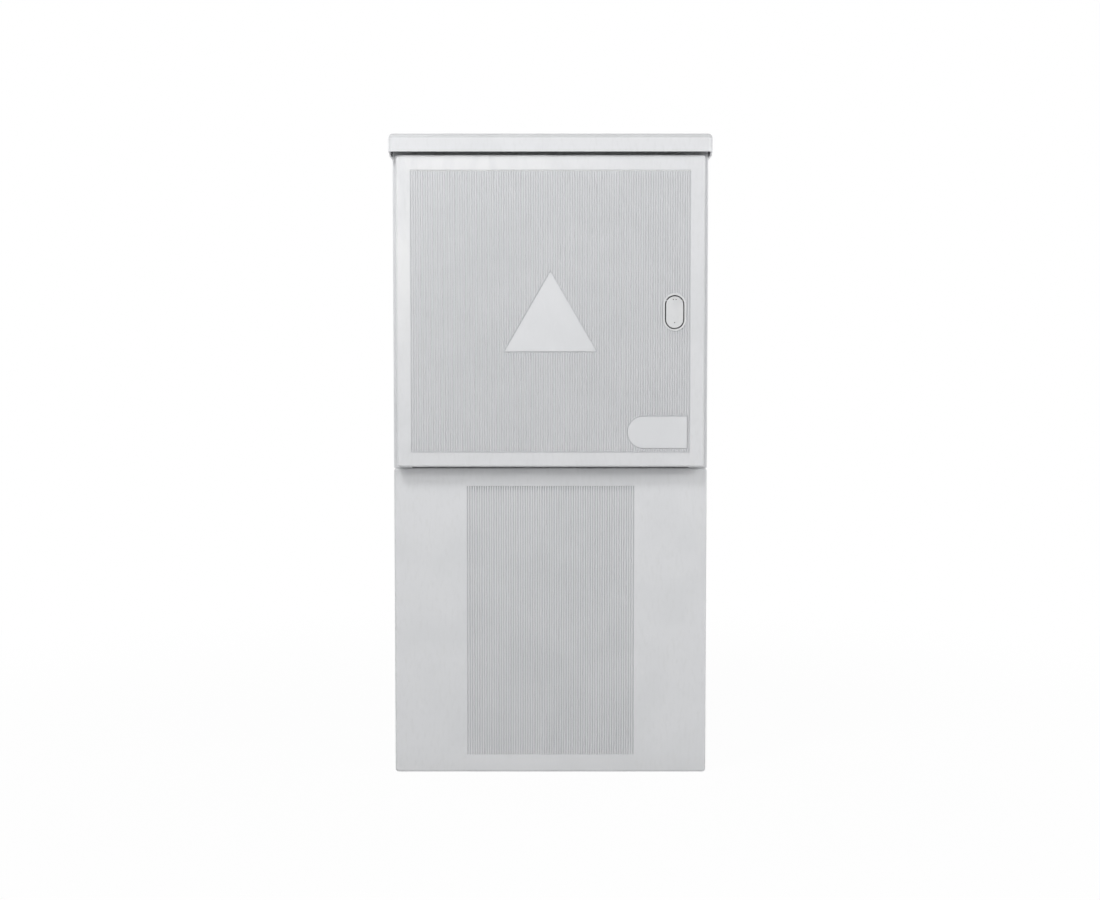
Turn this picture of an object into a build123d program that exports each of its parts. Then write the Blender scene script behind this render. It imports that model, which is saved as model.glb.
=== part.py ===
from build123d import *
import os
from math import acos, cos, floor, pi, radians, sin, tan

# Roadside utility cabinet on a plinth, in millimetres.
# The origin is on the ground at the middle of the plan, +Z is up and the front faces -Y.

# Overall
BODY_W = 600.0            # outside width of body and plinth
BODY_D = 300.0            # frame plane to rear face
PLINTH_H = 590.0          # ground to body
BODY_H = 605.0            # body side panels, plinth top to roof seat
WALL = 4.0                # pressed panel thickness
FLANGE = 35.0             # width of the folded panel flanges
RETURN_D = 30.0           # depth of the folded returns of the front and rear trays
PANEL_CORNER_R = 6.0      # corner radius of the plinth and rear trays
PANEL_EDGE_R = 4.0        # rounding of the tray face edges
FIT = 0.3                 # loose fit between neighbouring sheets
RUN = 0.05                # radial running clearance of pins and journals
OVER = 1.0                # overrun of a cutting tool

# Ribbed fields
RIB_PITCH = 4.62          # rib spacing
GROOVE_W = 2.7            # groove width at the surface
GROOVE_FLOOR_W = 1.5      # groove width at its floor
GROOVE_DEPTH = 1.5
OUTLINE_W = 2.0           # groove round the smooth plates and across the ends of the door ribs
PLINTH_FIELD_W = 324.0    # ribbed width on the plinth
PLINTH_FIELD_LOW = 34.0   # smooth band below the plinth field
PLINTH_FIELD_TOP = 35.0   # smooth band above the plinth field

# Door
DOOR_SIDE = 8.0           # door edge from the body side
DOOR_RISE = 3.0           # door bottom above the plinth top
DOOR_HEAD = 13.0          # door top below the roof seat
DOOR_DEPTH = 22.0         # depth of the door tray
DOOR_GAP = 2.0            # door rim to frame plane
DOOR_CORNER_R = 5.0
DOOR_EDGE_R = 4.0
DOOR_BACK_R = 3.0         # rounding of the rim on the hinge side
DOOR_FIELD_SIDE = 26.0    # smooth margin at the sides
DOOR_FIELD_TOP = 28.0
DOOR_FIELD_LOW = 27.0
TRIANGLE_SIDE = 173.6     # smooth triangle in the middle
TRIANGLE_R = 1.5
DEE_W = 112.0             # smooth plate with a round left end
DEE_H = 59.4
DEE_SIDE = 33.0           # its right end from the door edge
DEE_LOW = 36.2            # its lower edge above the door bottom

# Gasket
GASKET_INSET = 18.0       # outer edge of the gasket from the door edge
GASKET_W = 8.0
GASKET_H = 7.8
GASKET_FREE = 0.2         # closed gasket to frame plane

# Hinges
HINGE_IN = 8.0            # hinge axis from the door's left edge
HINGE_BACK = 12.0         # hinge axis in front of the frame plane
HINGE_END = 105.0         # hinge middle from the door's upper and lower edge
EYE_R = 5.5
EYE_H = 22.0
TAB_T = 6.0               # bracket tab width
PIN_R = 3.0
PIN_HEAD_R = 3.8
PIN_HEAD_H = 2.0
HUB_R = 6.0               # hinge hub on the door
HUB_H = 14.0
HUB_GAP = 0.5             # end play between eye and hub
FOOT_T = 3.0              # bracket foot thickness
FOOT_W = 25.0
FOOT_H = 52.0
NOTCH_FRONT = 6.5         # rim notch in front of the hinge axis
NOTCH_PLAY = 1.0          # notch clearance above and below the eye

# Lock opening and flap
LOCK_SIDE = 57.0          # lock middle from the door's right edge
LOCK_DROP = 0.9           # lock middle below the door middle
CUP_W = 37.0              # clear opening of the bezel
CUP_H = 64.5
CUP_WALL = 2.0
CUP_DEPTH = 14.0
BEZEL_RING = 3.3          # visible ring round the opening
BEZEL_PROUD = 0.8
FLAP_GAP = 2.45           # gap round the flap
FLAP_T = 3.2
FLAP_AXIS_DROP = 8.0      # flap pivot below the flap's upper end
FLAP_PIN_R = 1.0
FLAP_PIN_GRIP = 1.6       # pin length held in each cup wall
DOT_R = 1.0               # dimples on the flap
DOT_DEPTH = 0.7
DOT_SPACING = 5.4
DOT_TOP = 6.0             # upper dimples below the flap's upper end
DOT_LOW = 10.0            # lower dimple above the flap's lower end

# Lock mechanism
CASE_W = 52.0
CASE_T = 2.5              # sheet of the lock case
CASE_H = 54.0             # height of the channel and cover
CASE_PLATE_H = 76.0       # height of the front plate with its screw ears
CASE_SCREW_X = 18.0       # case screws from the lock middle
CASE_SCREW_Z = 33.0
PILLAR_R = 4.0
PILLAR_Z = 21.0           # cover pillars from the lock middle
COVER_BACK = 16.0         # rear face of the cover behind the frame plane
STUD_R = 6.5              # triangular key stud, corner radius from the axis
STUD_BACK = 4.5           # stud tip behind the door face
JOURNAL_R = 8.0
REAR_JOURNAL_R = 6.0
TEETH = 12
TOOTH_MODULE = 1.5
PRESSURE_DEG = 25.0
BACKLASH = 0.3            # taken off each tooth thickness
ROOT_SHARE = 1.25         # dedendum over module
TIP_SHARE = 0.8           # addendum over module
ROD_T = 6.0               # lock rod depth
ROD_W = 8.0               # lock rod width
ROD_BACK = 5.5            # rod front face behind the frame plane
ROD_FREE = 3.0            # retracted rod end to the frame member
RACK_TAIL = 28.0          # rack end beyond the lock middle
RACK_HEAD = 13.0          # toothed length on the other side
CAM_REACH = 42.0
CAM_W = 12.0
CAM_T = 4.0
CAM_HUB_R = 9.0
CAM_FREE = 0.8            # cam behind the cover screws
SQUARE = 8.0              # spindle square in the cam
THREAD_R = 3.5
NUT_FLATS = 12.0
NUT_H = 5.0
SPINDLE_END = 1.5         # thread beyond the nut
GUIDE_END = 68.0          # rod guide from the door's upper and lower edge
GUIDE_H = 14.0
GUIDE_WALL = 5.0
GUIDE_SLIDE = 0.3         # play of the rod in its guide
GUIDE_BASE_H = 44.0
GUIDE_BASE_T = 3.0
GUIDE_LIFT = 8.0          # guide base above the door skin
GUIDE_SCREW = 15.0        # guide screws from the guide middle
KEEPER_W = 24.0
KEEPER_H = 40.0
KEEPER_IN = 1.5           # keeper from the flange edge
KEEPER_FREE = 0.5         # cam to keeper
KEEPER_SCREW = 11.0       # keeper screws from the lock middle

# Body frame
HEADER_H = 45.0           # frame member above the opening
SILL_H = 41.0             # upstand of the floor plate
TAB_LAP = 22.0            # header tab behind the side flange
TAB_ROOT = 15.0           # header tab behind the header
TAB_H = 30.0
FRAME_EDGE_R = 3.0
FLOOR_T = 4.0
CABLE_SLOT_SIDE = 55.0    # cable opening in the floor, from the side flanges
CABLE_SLOT_D = 130.0
CABLE_SLOT_FRONT = 45.0   # its front edge behind the frame plane
CABLE_SLOT_R = 10.0

# Roof
ROOF_WALL = 3.5
SKIRT_GAP = 2.0           # skirt to body
ROOF_RISE = 27.0          # highest point above the roof seat
FASCIA_H = 34.6
SKIRT_DROP = 5.0          # side skirts below the fascia
SKIRT_START = 5.0         # skirt front in front of the frame plane
FASCIA_LEAD = 8.0         # fascia in front of the door face
ROOF_FALL = 14.0          # fall of the roof to the rear
ROOF_EDGE_R = 9.0
ROOF_POST_R = 9.0
ROOF_POST_FRONT = 45.0    # front posts behind the frame plane
ROOF_POST_REAR = 75.0     # rear posts in front of the rear face

# Fasteners
M6_R = 3.0
M6_FLATS = 10.0
M6_HEAD_H = 3.5
M4_R = 2.0
M4_HEAD_R = 3.8
M4_HEAD_H = 2.6
M8_R = 4.0
M8_FLATS = 13.0
M8_HEAD_H = 5.3
BOSS_R = 8.0              # screw bosses of the trays
BOSS_END = 70.0           # bosses from the upper and lower panel edge
BOSS_BITE = 15.0          # screw length in a boss
SMALL_BOSS_R = 4.6        # screw bosses on the door
SMALL_BITE = 8.0          # screw length in a door boss
BLIND = 3.2               # screw length in a flange
ANCHOR_R = 7.0            # ground anchor holes
ANCHOR_SPAN = 180.0       # anchor holes front to rear
FLOOR_BOLT_SPAN = 160.0   # floor bolts front to rear

# Cable rail in the plinth
RAIL_Z = 420.0
RAIL_W = 40.0
RAIL_H = 22.0
RAIL_T = 2.5
RAIL_SLOT = 18.0
RAIL_END_W = 70.0
RAIL_END_H = 44.0
RAIL_SCREW = 26.0         # rail screws from the rail middle

# Equipment
STANDOFF_H = 25.0
STANDOFF_R = 8.0
PLATE_T = 2.5
PLATE_SIDE = 12.0         # plate edge from the side flanges
PLATE_LOW = 50.0          # plate edge above the body bottom
PLATE_TOP = 45.0          # plate edge below the roof seat
PLATE_CORNER_R = 6.0
PLATE_SCREW_INSET = 25.0
BAR_H = 30.0
BAR_T = 5.0
BAR_PITCH = 100.0
BAR_LIFT = 45.0           # bar front face in front of the plate
BAR_END = 33.0            # bar end from the plate edge
SUPPORT_W = 24.0
SUPPORT_IN = 25.0         # support middle from the bar end
SUPPORT_END = 35.0        # support beyond the outer bars
SUPPORT_POCKET_H = 44.0
SUPPORT_POCKET_SHARE = 0.6
NEUTRAL_RISE = 34.0       # neutral bar middle above the plate edge
NEUTRAL_H = 40.0
NEUTRAL_T = 6.0
NEUTRAL_END = 53.0        # neutral bar end from the plate edge
NEUTRAL_LIFT = 40.0
INSULATOR_R = 14.0
INSULATOR_NECK_R = 11.0
NEUTRAL_BOLT_EDGE = 40.0  # least distance of a bolt from the bar end
NEUTRAL_BOLT_PITCH = 44.0
NEUTRAL_BOLT_L = 20.0
WAYS = 4                  # fuse rails
WAY_PITCH = 62.0
WAY_W = 50.0
WAY_D = 58.0
WAY_TOP = 5.0             # rail top below the plate edge
WAY_END = 55.0            # rail above the upper bar
WAY_TAIL = 90.0           # rail below the lower bar
TAIL_PROUD = 10.0         # terminal hood in front of the rail
TAIL_H = 62.0
POCKET_W = 42.0
POCKET_H = 84.0
POCKET_D = 36.0
JAW_W = 20.0
JAW_H = 14.0
JAW_D = 12.0
LINK_W = 30.0
LINK_H = 48.0
LINK_D = 27.0
LINK_FREE = 1.0           # link body in front of the pocket floor
LINK_R = 4.0
BLADE_W = 15.0
BLADE_T = 5.0
LUG_W = 20.0
LUG_T = 2.0
LUG_D = 4.0
LUG_INSET = 3.0

# Levels and planes
Z_BODY = PLINTH_H
Z_SEAT = Z_BODY + BODY_H
Z_DOOR = Z_BODY + DOOR_RISE
Z_DOOR_TOP = Z_SEAT - DOOR_HEAD
Z_DOOR_MID = (Z_DOOR + Z_DOOR_TOP) / 2
Z_ROOF = Z_SEAT + ROOF_RISE
Z_FASCIA = Z_ROOF - FASCIA_H
Z_SKIRT = Z_FASCIA - SKIRT_DROP
ROOF_LEAD = FASCIA_LEAD + DOOR_DEPTH + DOOR_GAP
ROOF_LAP = SKIRT_GAP + ROOF_WALL
ROOF_D = ROOF_LEAD + BODY_D + ROOF_LAP
Y_ROOF = -ROOF_D / 2
Y_FRAME = Y_ROOF + ROOF_LEAD
Y_REAR = Y_FRAME + BODY_D
Y_DOOR = Y_FRAME - DOOR_GAP - DOOR_DEPTH
Y_SKIN = Y_DOOR + WALL
Y_PANEL_END = Y_REAR - RETURN_D
HALF_W = BODY_W / 2
DOOR_W = BODY_W - 2 * DOOR_SIDE
FLANGE_X = HALF_W - FLANGE
FLANGE_MID = HALF_W - FLANGE / 2
LOCK_X = DOOR_W / 2 - LOCK_SIDE
LOCK_Z = Z_DOOR_MID - LOCK_DROP
HINGE_X = -DOOR_W / 2 + HINGE_IN
HINGE_Y = Y_FRAME - HINGE_BACK
HINGE_LEVELS = (Z_DOOR + HINGE_END, Z_DOOR_TOP - HINGE_END)
Y_PLATE = Y_REAR - WALL - STANDOFF_H - PLATE_T


# Solids between limits and along the axes
def block(x, y, z):
    """Box between (low, high) limits on each axis."""
    middle = Pos(sum(x) / 2, sum(y) / 2, sum(z) / 2)
    return middle * Box(x[1] - x[0], y[1] - y[0], z[1] - z[0])


def round_y(radius, x, z, y):
    """Cylinder along Y."""
    return Pos(x, sum(y) / 2, z) * Rot(90, 0, 0) * Cylinder(radius, y[1] - y[0])


def round_z(radius, x, y, z):
    """Cylinder along Z."""
    return Pos(x, y, sum(z) / 2) * Cylinder(radius, z[1] - z[0])


def round_x(radius, y, z, x):
    """Cylinder along X."""
    return Pos(sum(x) / 2, y, z) * Rot(0, 90, 0) * Cylinder(radius, x[1] - x[0])


def prism_y(outline, y):
    """Extrude an outline drawn in X and Z between two Y limits."""
    face = Plane(origin=(0, y[1], 0), x_dir=(1, 0, 0), z_dir=(0, -1, 0)) * outline
    return extrude(face, amount=y[1] - y[0])


def prism_x(outline, x):
    """Extrude an outline drawn in Y and Z between two X limits."""
    face = Plane(origin=(x[0], 0, 0), x_dir=(0, 1, 0), z_dir=(1, 0, 0)) * outline
    return extrude(face, amount=x[1] - x[0])


def area(first, second):
    """Rectangle between (low, high) limits."""
    return Pos(sum(first) / 2, sum(second) / 2) * Rectangle(first[1] - first[0], second[1] - second[0])


def polygon(points):
    """Closed flat outline through the points."""
    return make_face(Polyline(*points, close=True))


def grown(limits, by):
    """Limits moved outwards by a margin, or inwards by a negative one."""
    return (limits[0] - by, limits[1] + by)


def about(middle, width):
    """Limits of a width about a middle."""
    return (middle - width / 2, middle + width / 2)


# Fasteners, given by the point under the head and the direction out of the joint
def screw(seat, outward, radius, head, head_h, length):
    """Screw with a head of the given outline."""
    shank = Pos(0, 0, -length / 2) * Cylinder(radius, length)
    return Plane(origin=seat, z_dir=outward) * (extrude(head, amount=head_h) + shank)


def hexagon(flats):
    return RegularPolygon(flats / 2, 6, major_radius=False)


def drill(seat, outward, radius, length):
    """Cutting tool of a hole from the seat inwards."""
    tool = Pos(0, 0, (OVER - length) / 2) * Cylinder(radius, length + OVER)
    return Plane(origin=seat, z_dir=outward) * tool


def m6(seat, outward, length):
    return screw(seat, outward, M6_R, hexagon(M6_FLATS), M6_HEAD_H, length)


def m4(seat, outward, length):
    return screw(seat, outward, M4_R, Circle(M4_HEAD_R), M4_HEAD_H, length)


def m8(seat, outward, length):
    return screw(seat, outward, M8_R, hexagon(M8_FLATS), M8_HEAD_H, length)


FORWARD = (0, -1, 0)
BACK = (0, 1, 0)
UP = (0, 0, 1)
DOWN = (0, 0, -1)


# Ribbed fields
def groove_middles(x):
    """Middles of the grooves that fill a width."""
    count = floor((x[1] - x[0]) / RIB_PITCH)
    first = sum(x) / 2 - (count - 1) * RIB_PITCH / 2
    return [first + i * RIB_PITCH for i in range(count)]


def grooves(x, z, y_face):
    """Row of upright grooves that fills a field of a face looking to -Y."""
    row = Sketch()
    for mid in groove_middles(x):
        row += polygon([
            (mid - GROOVE_W / 2, y_face - OVER),
            (mid + GROOVE_W / 2, y_face - OVER),
            (mid + GROOVE_W / 2, y_face),
            (mid + GROOVE_FLOOR_W / 2, y_face + GROOVE_DEPTH),
            (mid - GROOVE_FLOOR_W / 2, y_face + GROOVE_DEPTH),
            (mid - GROOVE_W / 2, y_face),
        ])
    return extrude(Pos(0, 0, z[0]) * row, amount=z[1] - z[0])


# Panels
def tray(x, z, y_face, inward, depth, corner_r, edge_r):
    """Skin with a rim folded back all round; inward is +1 or -1 along Y."""
    y = sorted((y_face, y_face + inward * depth))
    body = block(x, y, z)
    body = fillet(body.edges().filter_by(Axis.Y), corner_r)
    face = body.faces().sort_by(Axis.Y)[0 if inward > 0 else -1]
    body = fillet(face.edges(), edge_r)
    hollow_y = sorted((y_face + inward * WALL, y_face + inward * (depth + OVER)))
    hollow = block(grown(x, -WALL), hollow_y, grown(z, -WALL))
    hollow = fillet(hollow.edges().filter_by(Axis.Y), max(corner_r - WALL, FIT))
    return body - hollow


def boss_points(z):
    """Screw points of a tray: two at each side."""
    return [(sx * FLANGE_MID, level) for sx in (-1, 1) for level in grown(z, -BOSS_END)]


def bossed(panel, z, y_face, inward, depth):
    """Tray with drilled screw bosses that meet the side flanges."""
    seat = y_face + inward * depth
    for x, level in boss_points(z):
        panel += round_y(BOSS_R, x, level, sorted((y_face + inward * (WALL - FIT), seat)))
    for x, level in boss_points(z):
        panel -= drill((x, seat, level), (0, inward, 0), M6_R + RUN, BOSS_BITE + FIT)
    return panel


def right_side(y, z):
    """Folded side panel with a flange on each of its four edges."""
    panel = block((FLANGE_X, HALF_W), y, z)
    panel -= block((FLANGE_X - OVER, HALF_W - WALL), grown(y, -WALL), grown(z, -WALL))
    outer = panel.edges().filter_by(Axis.Z).group_by(Axis.X)[-1]
    return fillet(outer, FRAME_EDGE_R)


def mirrored(shape):
    return mirror(shape, about=Plane.YZ)


# Plinth
PLINTH_Y = (Y_FRAME + RETURN_D, Y_PANEL_END)
PLINTH_Z = (0, PLINTH_H)
plinth_x = (-HALF_W, HALF_W)

plinth_front_panel = tray(plinth_x, PLINTH_Z, Y_FRAME, 1, RETURN_D, PANEL_CORNER_R, PANEL_EDGE_R)
plinth_front_panel = bossed(plinth_front_panel, PLINTH_Z, Y_FRAME, 1, RETURN_D)
plinth_field_z = (PLINTH_FIELD_LOW, PLINTH_H - PLINTH_FIELD_TOP)
plinth_front_panel -= grooves(about(0, PLINTH_FIELD_W), plinth_field_z, Y_FRAME)

plinth_rear_panel = tray(plinth_x, PLINTH_Z, Y_REAR, -1, RETURN_D, PANEL_CORNER_R, PANEL_EDGE_R)
plinth_rear_panel = bossed(plinth_rear_panel, PLINTH_Z, Y_REAR, -1, RETURN_D)

plinth_mid_y = sum(PLINTH_Y) / 2
floor_bolt_y = about(plinth_mid_y, FLOOR_BOLT_SPAN)
rail_points = [(y, RAIL_Z) for y in about(plinth_mid_y, 2 * RAIL_SCREW)]

plinth_right_side = right_side(PLINTH_Y, PLINTH_Z)
for x, level in boss_points(PLINTH_Z):
    plinth_right_side -= drill((x, PLINTH_Y[0] + WALL, level), BACK, M6_R + FIT, WALL + OVER)
    plinth_right_side -= drill((x, PLINTH_Y[1] - WALL, level), FORWARD, M6_R + FIT, WALL + OVER)
for y in about(plinth_mid_y, ANCHOR_SPAN):
    plinth_right_side -= round_z(ANCHOR_R, FLANGE_MID, y, grown((0, WALL), OVER))
for y in floor_bolt_y:
    plinth_right_side -= round_z(M8_R + FIT, FLANGE_MID, y, grown((PLINTH_H - WALL, PLINTH_H), OVER))
for y, level in rail_points:
    plinth_right_side -= drill((HALF_W - WALL, y, level), (-1, 0, 0), M6_R + RUN, BLIND)
plinth_left_side = mirrored(plinth_right_side)

# Cable rail across the plinth
rail_x = HALF_W - WALL
rail_y = about(plinth_mid_y, RAIL_W)
rail_z = about(RAIL_Z, RAIL_H)
rail_span = (-rail_x + RAIL_T, rail_x - RAIL_T)
rail_profile = area(rail_y, rail_z) - area(grown(rail_y, -RAIL_T), grown(rail_z, -RAIL_T))
rail_profile -= area(about(plinth_mid_y, RAIL_SLOT), (RAIL_Z, rail_z[1] + OVER))
cable_rail = prism_x(rail_profile, rail_span)
for side in (-1, 1):
    end = sorted((side * rail_x, side * (rail_x - RAIL_T)))
    cable_rail += block(end, about(plinth_mid_y, RAIL_END_W), about(RAIL_Z, RAIL_END_H))
cable_rail_screws = []
for side in (-1, 1):
    for y, level in rail_points:
        seat = (side * (rail_x - RAIL_T), y, level)
        cable_rail -= drill(seat, (-side, 0, 0), M6_R + FIT, RAIL_T + OVER)
        cable_rail_screws.append(m6(seat, (-side, 0, 0), RAIL_T + BLIND))

# Body side panels and rear panel
BODY_Y = (Y_FRAME, Y_PANEL_END)
BODY_Z = (Z_BODY, Z_SEAT)
rear_panel = tray(plinth_x, BODY_Z, Y_REAR, -1, RETURN_D, PANEL_CORNER_R, PANEL_EDGE_R)
rear_panel = bossed(rear_panel, BODY_Z, Y_REAR, -1, RETURN_D)

plate_x = (-FLANGE_X + PLATE_SIDE, FLANGE_X - PLATE_SIDE)
plate_z = (Z_BODY + PLATE_LOW, Z_SEAT - PLATE_TOP)
plate_points = [(x, z) for x in grown(plate_x, -PLATE_SCREW_INSET)
                for z in grown(plate_z, -PLATE_SCREW_INSET)]

roof_posts = [(sx * FLANGE_MID, y) for sx in (-1, 1)
              for y in (Y_FRAME + ROOF_POST_FRONT, Y_REAR - ROOF_POST_REAR)]
tab_mid_x = FLANGE_X + TAB_LAP / 2
tab_mid_z = Z_SEAT - WALL - FIT - TAB_H / 2

right_side_panel = right_side(BODY_Y, BODY_Z)
for x, level in boss_points(BODY_Z):
    right_side_panel -= drill((x, BODY_Y[1] - WALL, level), FORWARD, M6_R + FIT, WALL + OVER)
for y in floor_bolt_y:
    right_side_panel -= round_z(M8_R + FIT, FLANGE_MID, y, grown((Z_BODY, Z_BODY + WALL), OVER))
for x, y in roof_posts:
    right_side_panel -= round_z(M6_R + FIT, x, y, grown((Z_SEAT - WALL, Z_SEAT), OVER))
right_side_panel -= drill((tab_mid_x, Y_FRAME + WALL, tab_mid_z), BACK, M4_R + RUN, BLIND)
left_side_panel = mirrored(right_side_panel)

# Keeper for the latch cam, behind the right flange
keeper_x = (FLANGE_X + KEEPER_IN, FLANGE_X + KEEPER_IN + KEEPER_W)
cam_y = (Y_FRAME + COVER_BACK + M4_HEAD_H + CAM_FREE, Y_FRAME + COVER_BACK + M4_HEAD_H + CAM_FREE + CAM_T)
keeper_back = cam_y[0] - KEEPER_FREE
centre_keeper = block(keeper_x, (Y_FRAME + WALL, keeper_back), about(LOCK_Z, KEEPER_H))
centre_keeper = fillet(centre_keeper.edges().filter_by(Axis.Y), FRAME_EDGE_R)
frame_screws = []
for z in about(LOCK_Z, 2 * KEEPER_SCREW):
    seat = (sum(keeper_x) / 2, keeper_back - M4_HEAD_H - FIT, z)
    centre_keeper -= drill(seat, BACK, M4_R + FIT, keeper_back - Y_FRAME)
    centre_keeper -= drill((seat[0], keeper_back, z), BACK, M4_HEAD_R + FIT, M4_HEAD_H + FIT)
    right_side_panel -= drill((seat[0], Y_FRAME + WALL, z), BACK, M4_R + RUN, BLIND)
    frame_screws.append(m4(seat, BACK, seat[1] - Y_FRAME - WALL + BLIND))

# Front header with tabs behind the side flanges
header_x = (-FLANGE_X + FIT, FLANGE_X - FIT)
header_profile = polygon([
    (Y_FRAME, Z_SEAT - HEADER_H),
    (Y_FRAME, Z_SEAT),
    (Y_FRAME + FLANGE, Z_SEAT),
    (Y_FRAME + FLANGE, Z_SEAT - WALL),
    (Y_FRAME + WALL, Z_SEAT - WALL),
    (Y_FRAME + WALL, Z_SEAT - HEADER_H),
])
front_header = prism_x(header_profile, header_x)
for side in (-1, 1):
    tab_x = sorted((side * (FLANGE_X - TAB_ROOT), side * (FLANGE_X + TAB_LAP)))
    tab_z = about(tab_mid_z, TAB_H)
    front_header += block(tab_x, (Y_FRAME + WALL, Y_FRAME + 2 * WALL), tab_z)
    seat = (side * tab_mid_x, Y_FRAME + 2 * WALL, tab_mid_z)
    front_header -= drill(seat, BACK, M4_R + FIT, WALL + OVER)
    frame_screws.append(m4(seat, BACK, WALL + BLIND))

# Floor plate with its upstand at the front
floor_z = (Z_BODY + WALL, Z_BODY + WALL + FLOOR_T)
floor_y = (Y_FRAME + WALL + FIT, Y_PANEL_END - WALL - FIT)
floor_plate = block((-HALF_W + WALL + FIT, HALF_W - WALL - FIT), floor_y, floor_z)
floor_plate += block(header_x, (Y_FRAME, floor_y[0] + WALL), floor_z)
floor_plate += block(header_x, (Y_FRAME, Y_FRAME + WALL), (floor_z[0], floor_z[0] + SILL_H))
slot_y = (Y_FRAME + CABLE_SLOT_FRONT, Y_FRAME + CABLE_SLOT_FRONT + CABLE_SLOT_D)
slot_x = (-FLANGE_X + CABLE_SLOT_SIDE, FLANGE_X - CABLE_SLOT_SIDE)
cable_slot = block(slot_x, slot_y, grown(floor_z, OVER))
floor_plate -= fillet(cable_slot.edges().filter_by(Axis.Z), CABLE_SLOT_R)
floor_bolts = []
for x in (-FLANGE_MID, FLANGE_MID):
    for y in floor_bolt_y:
        seat = (x, y, floor_z[1])
        floor_plate -= drill(seat, UP, M8_R + FIT, FLOOR_T + OVER)
        grip = floor_z[1] - PLINTH_H + WALL
        nut = extrude(Pos(x, y, PLINTH_H - WALL - M8_HEAD_H) * hexagon(M8_FLATS), amount=M8_HEAD_H)
        floor_bolts.append(m8(seat, UP, grip + M8_HEAD_H) + nut)

# Panel screws at the side flanges
panel_screws = []
for x, level in boss_points(PLINTH_Z):
    panel_screws.append(m6((x, PLINTH_Y[0] + WALL, level), BACK, WALL + BOSS_BITE))
    panel_screws.append(m6((x, PLINTH_Y[1] - WALL, level), FORWARD, WALL + BOSS_BITE))
for x, level in boss_points(BODY_Z):
    panel_screws.append(m6((x, BODY_Y[1] - WALL, level), FORWARD, WALL + BOSS_BITE))


# Roof hood, with a fall to the rear and skirts below the fascia
def roof_block(inset, edge_r, low):
    """Solid roof shape moved inwards by a wall, reaching down by low below the edges."""
    front = Y_ROOF + inset
    rear = -Y_ROOF - inset
    half = HALF_W + ROOF_LAP - inset
    skirt_y = Y_FRAME - SKIRT_START
    outline = polygon([
        (front, Z_FASCIA - low),
        (front, Z_ROOF - inset),
        (rear, Z_ROOF - ROOF_FALL - inset),
        (rear, Z_SKIRT - low),
        (skirt_y, Z_SKIRT - low),
        (skirt_y, Z_FASCIA - low),
    ])
    solid = prism_x(outline, (-half, half))
    upright = [e for e in solid.edges().filter_by(Axis.Z) if e.length > edge_r]
    solid = fillet(upright, edge_r)
    return fillet(solid.faces().sort_by(Axis.Z)[-1].edges(), edge_r)


roof_outer = roof_block(0, ROOF_EDGE_R, 0)
roof_hood = roof_outer - roof_block(ROOF_WALL, ROOF_EDGE_R - ROOF_WALL, 2 * OVER)
roof_screws = []
for x, y in roof_posts:
    roof_hood += round_z(ROOF_POST_R, x, y, (Z_SEAT, Z_ROOF)) & roof_outer
for x, y in roof_posts:
    seat = (x, y, Z_SEAT - WALL)
    roof_hood -= drill((x, y, Z_SEAT), DOWN, M6_R + RUN, BLIND + WALL)
    roof_screws.append(m6(seat, DOWN, 2 * WALL))

# Door tray with its ribbed field
door_x = about(0, DOOR_W)
door_z = (Z_DOOR, Z_DOOR_TOP)
door_panel = tray(door_x, door_z, Y_DOOR, 1, DOOR_DEPTH, DOOR_CORNER_R, DOOR_EDGE_R)
rim_edges = door_panel.edges().filter_by(Axis.Z).group_by(Axis.X)[0]
door_panel = fillet(rim_edges.sort_by(Axis.Y)[-1], DOOR_BACK_R)

field_x = grown(door_x, -DOOR_FIELD_SIDE)
field_z = (Z_DOOR + DOOR_FIELD_LOW, Z_DOOR_TOP - DOOR_FIELD_TOP)
mask_y = (Y_DOOR - 2 * OVER, Y_DOOR + GROOVE_DEPTH + OVER)

triangle_low, triangle_top = about(Z_DOOR_MID, TRIANGLE_SIDE * cos(radians(30)))
triangle = polygon([(-TRIANGLE_SIDE / 2, triangle_low), (TRIANGLE_SIDE / 2, triangle_low), (0, triangle_top)])
triangle = fillet(triangle.vertices(), TRIANGLE_R)

dee_right = door_x[1] - DEE_SIDE
dee_z = (Z_DOOR + DEE_LOW, Z_DOOR + DEE_LOW + DEE_H)
dee_mid = dee_right - DEE_W + DEE_H / 2
dee = Pos((dee_mid + dee_right) / 2, sum(dee_z) / 2) * Rectangle(dee_right - dee_mid, DEE_H)
dee += Pos(dee_mid, sum(dee_z) / 2) * Circle(DEE_H / 2)


def stadium(grow):
    """Upright slot outline of the lock opening, grown on all sides."""
    return Pos(LOCK_X, LOCK_Z) * SlotOverall(CUP_H + 2 * grow, CUP_W + 2 * grow, rotation=90)


door_grooves = grooves(field_x, field_z, Y_DOOR)
for mask in (triangle, dee, stadium(BEZEL_RING + FIT)):
    door_grooves -= prism_y(mask, mask_y)
door_panel -= door_grooves

outline_y = (Y_DOOR - OVER, Y_DOOR + GROOVE_DEPTH)
for plate in (triangle, dee):
    door_panel -= prism_y(offset(plate, OUTLINE_W) - plate, outline_y)
middles = groove_middles(field_x)
row_x = (middles[0] - GROOVE_W / 2, middles[-1] + GROOVE_W / 2)
for low in (field_z[0], field_z[1] - OUTLINE_W):
    door_panel -= block(row_x, outline_y, (low, low + OUTLINE_W))
door_panel -= prism_y(stadium(CUP_WALL + FIT), (Y_DOOR - OVER, Y_SKIN + OVER))


# Gasket on a raised frame inside the door
def gasket_ring(y):
    """Rectangular ring under the gasket."""
    outer_x = grown(door_x, -GASKET_INSET)
    outer_z = grown(door_z, -GASKET_INSET)
    ring = block(outer_x, y, outer_z)
    return ring - block(grown(outer_x, -GASKET_W), grown(y, OVER), grown(outer_z, -GASKET_W))


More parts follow.
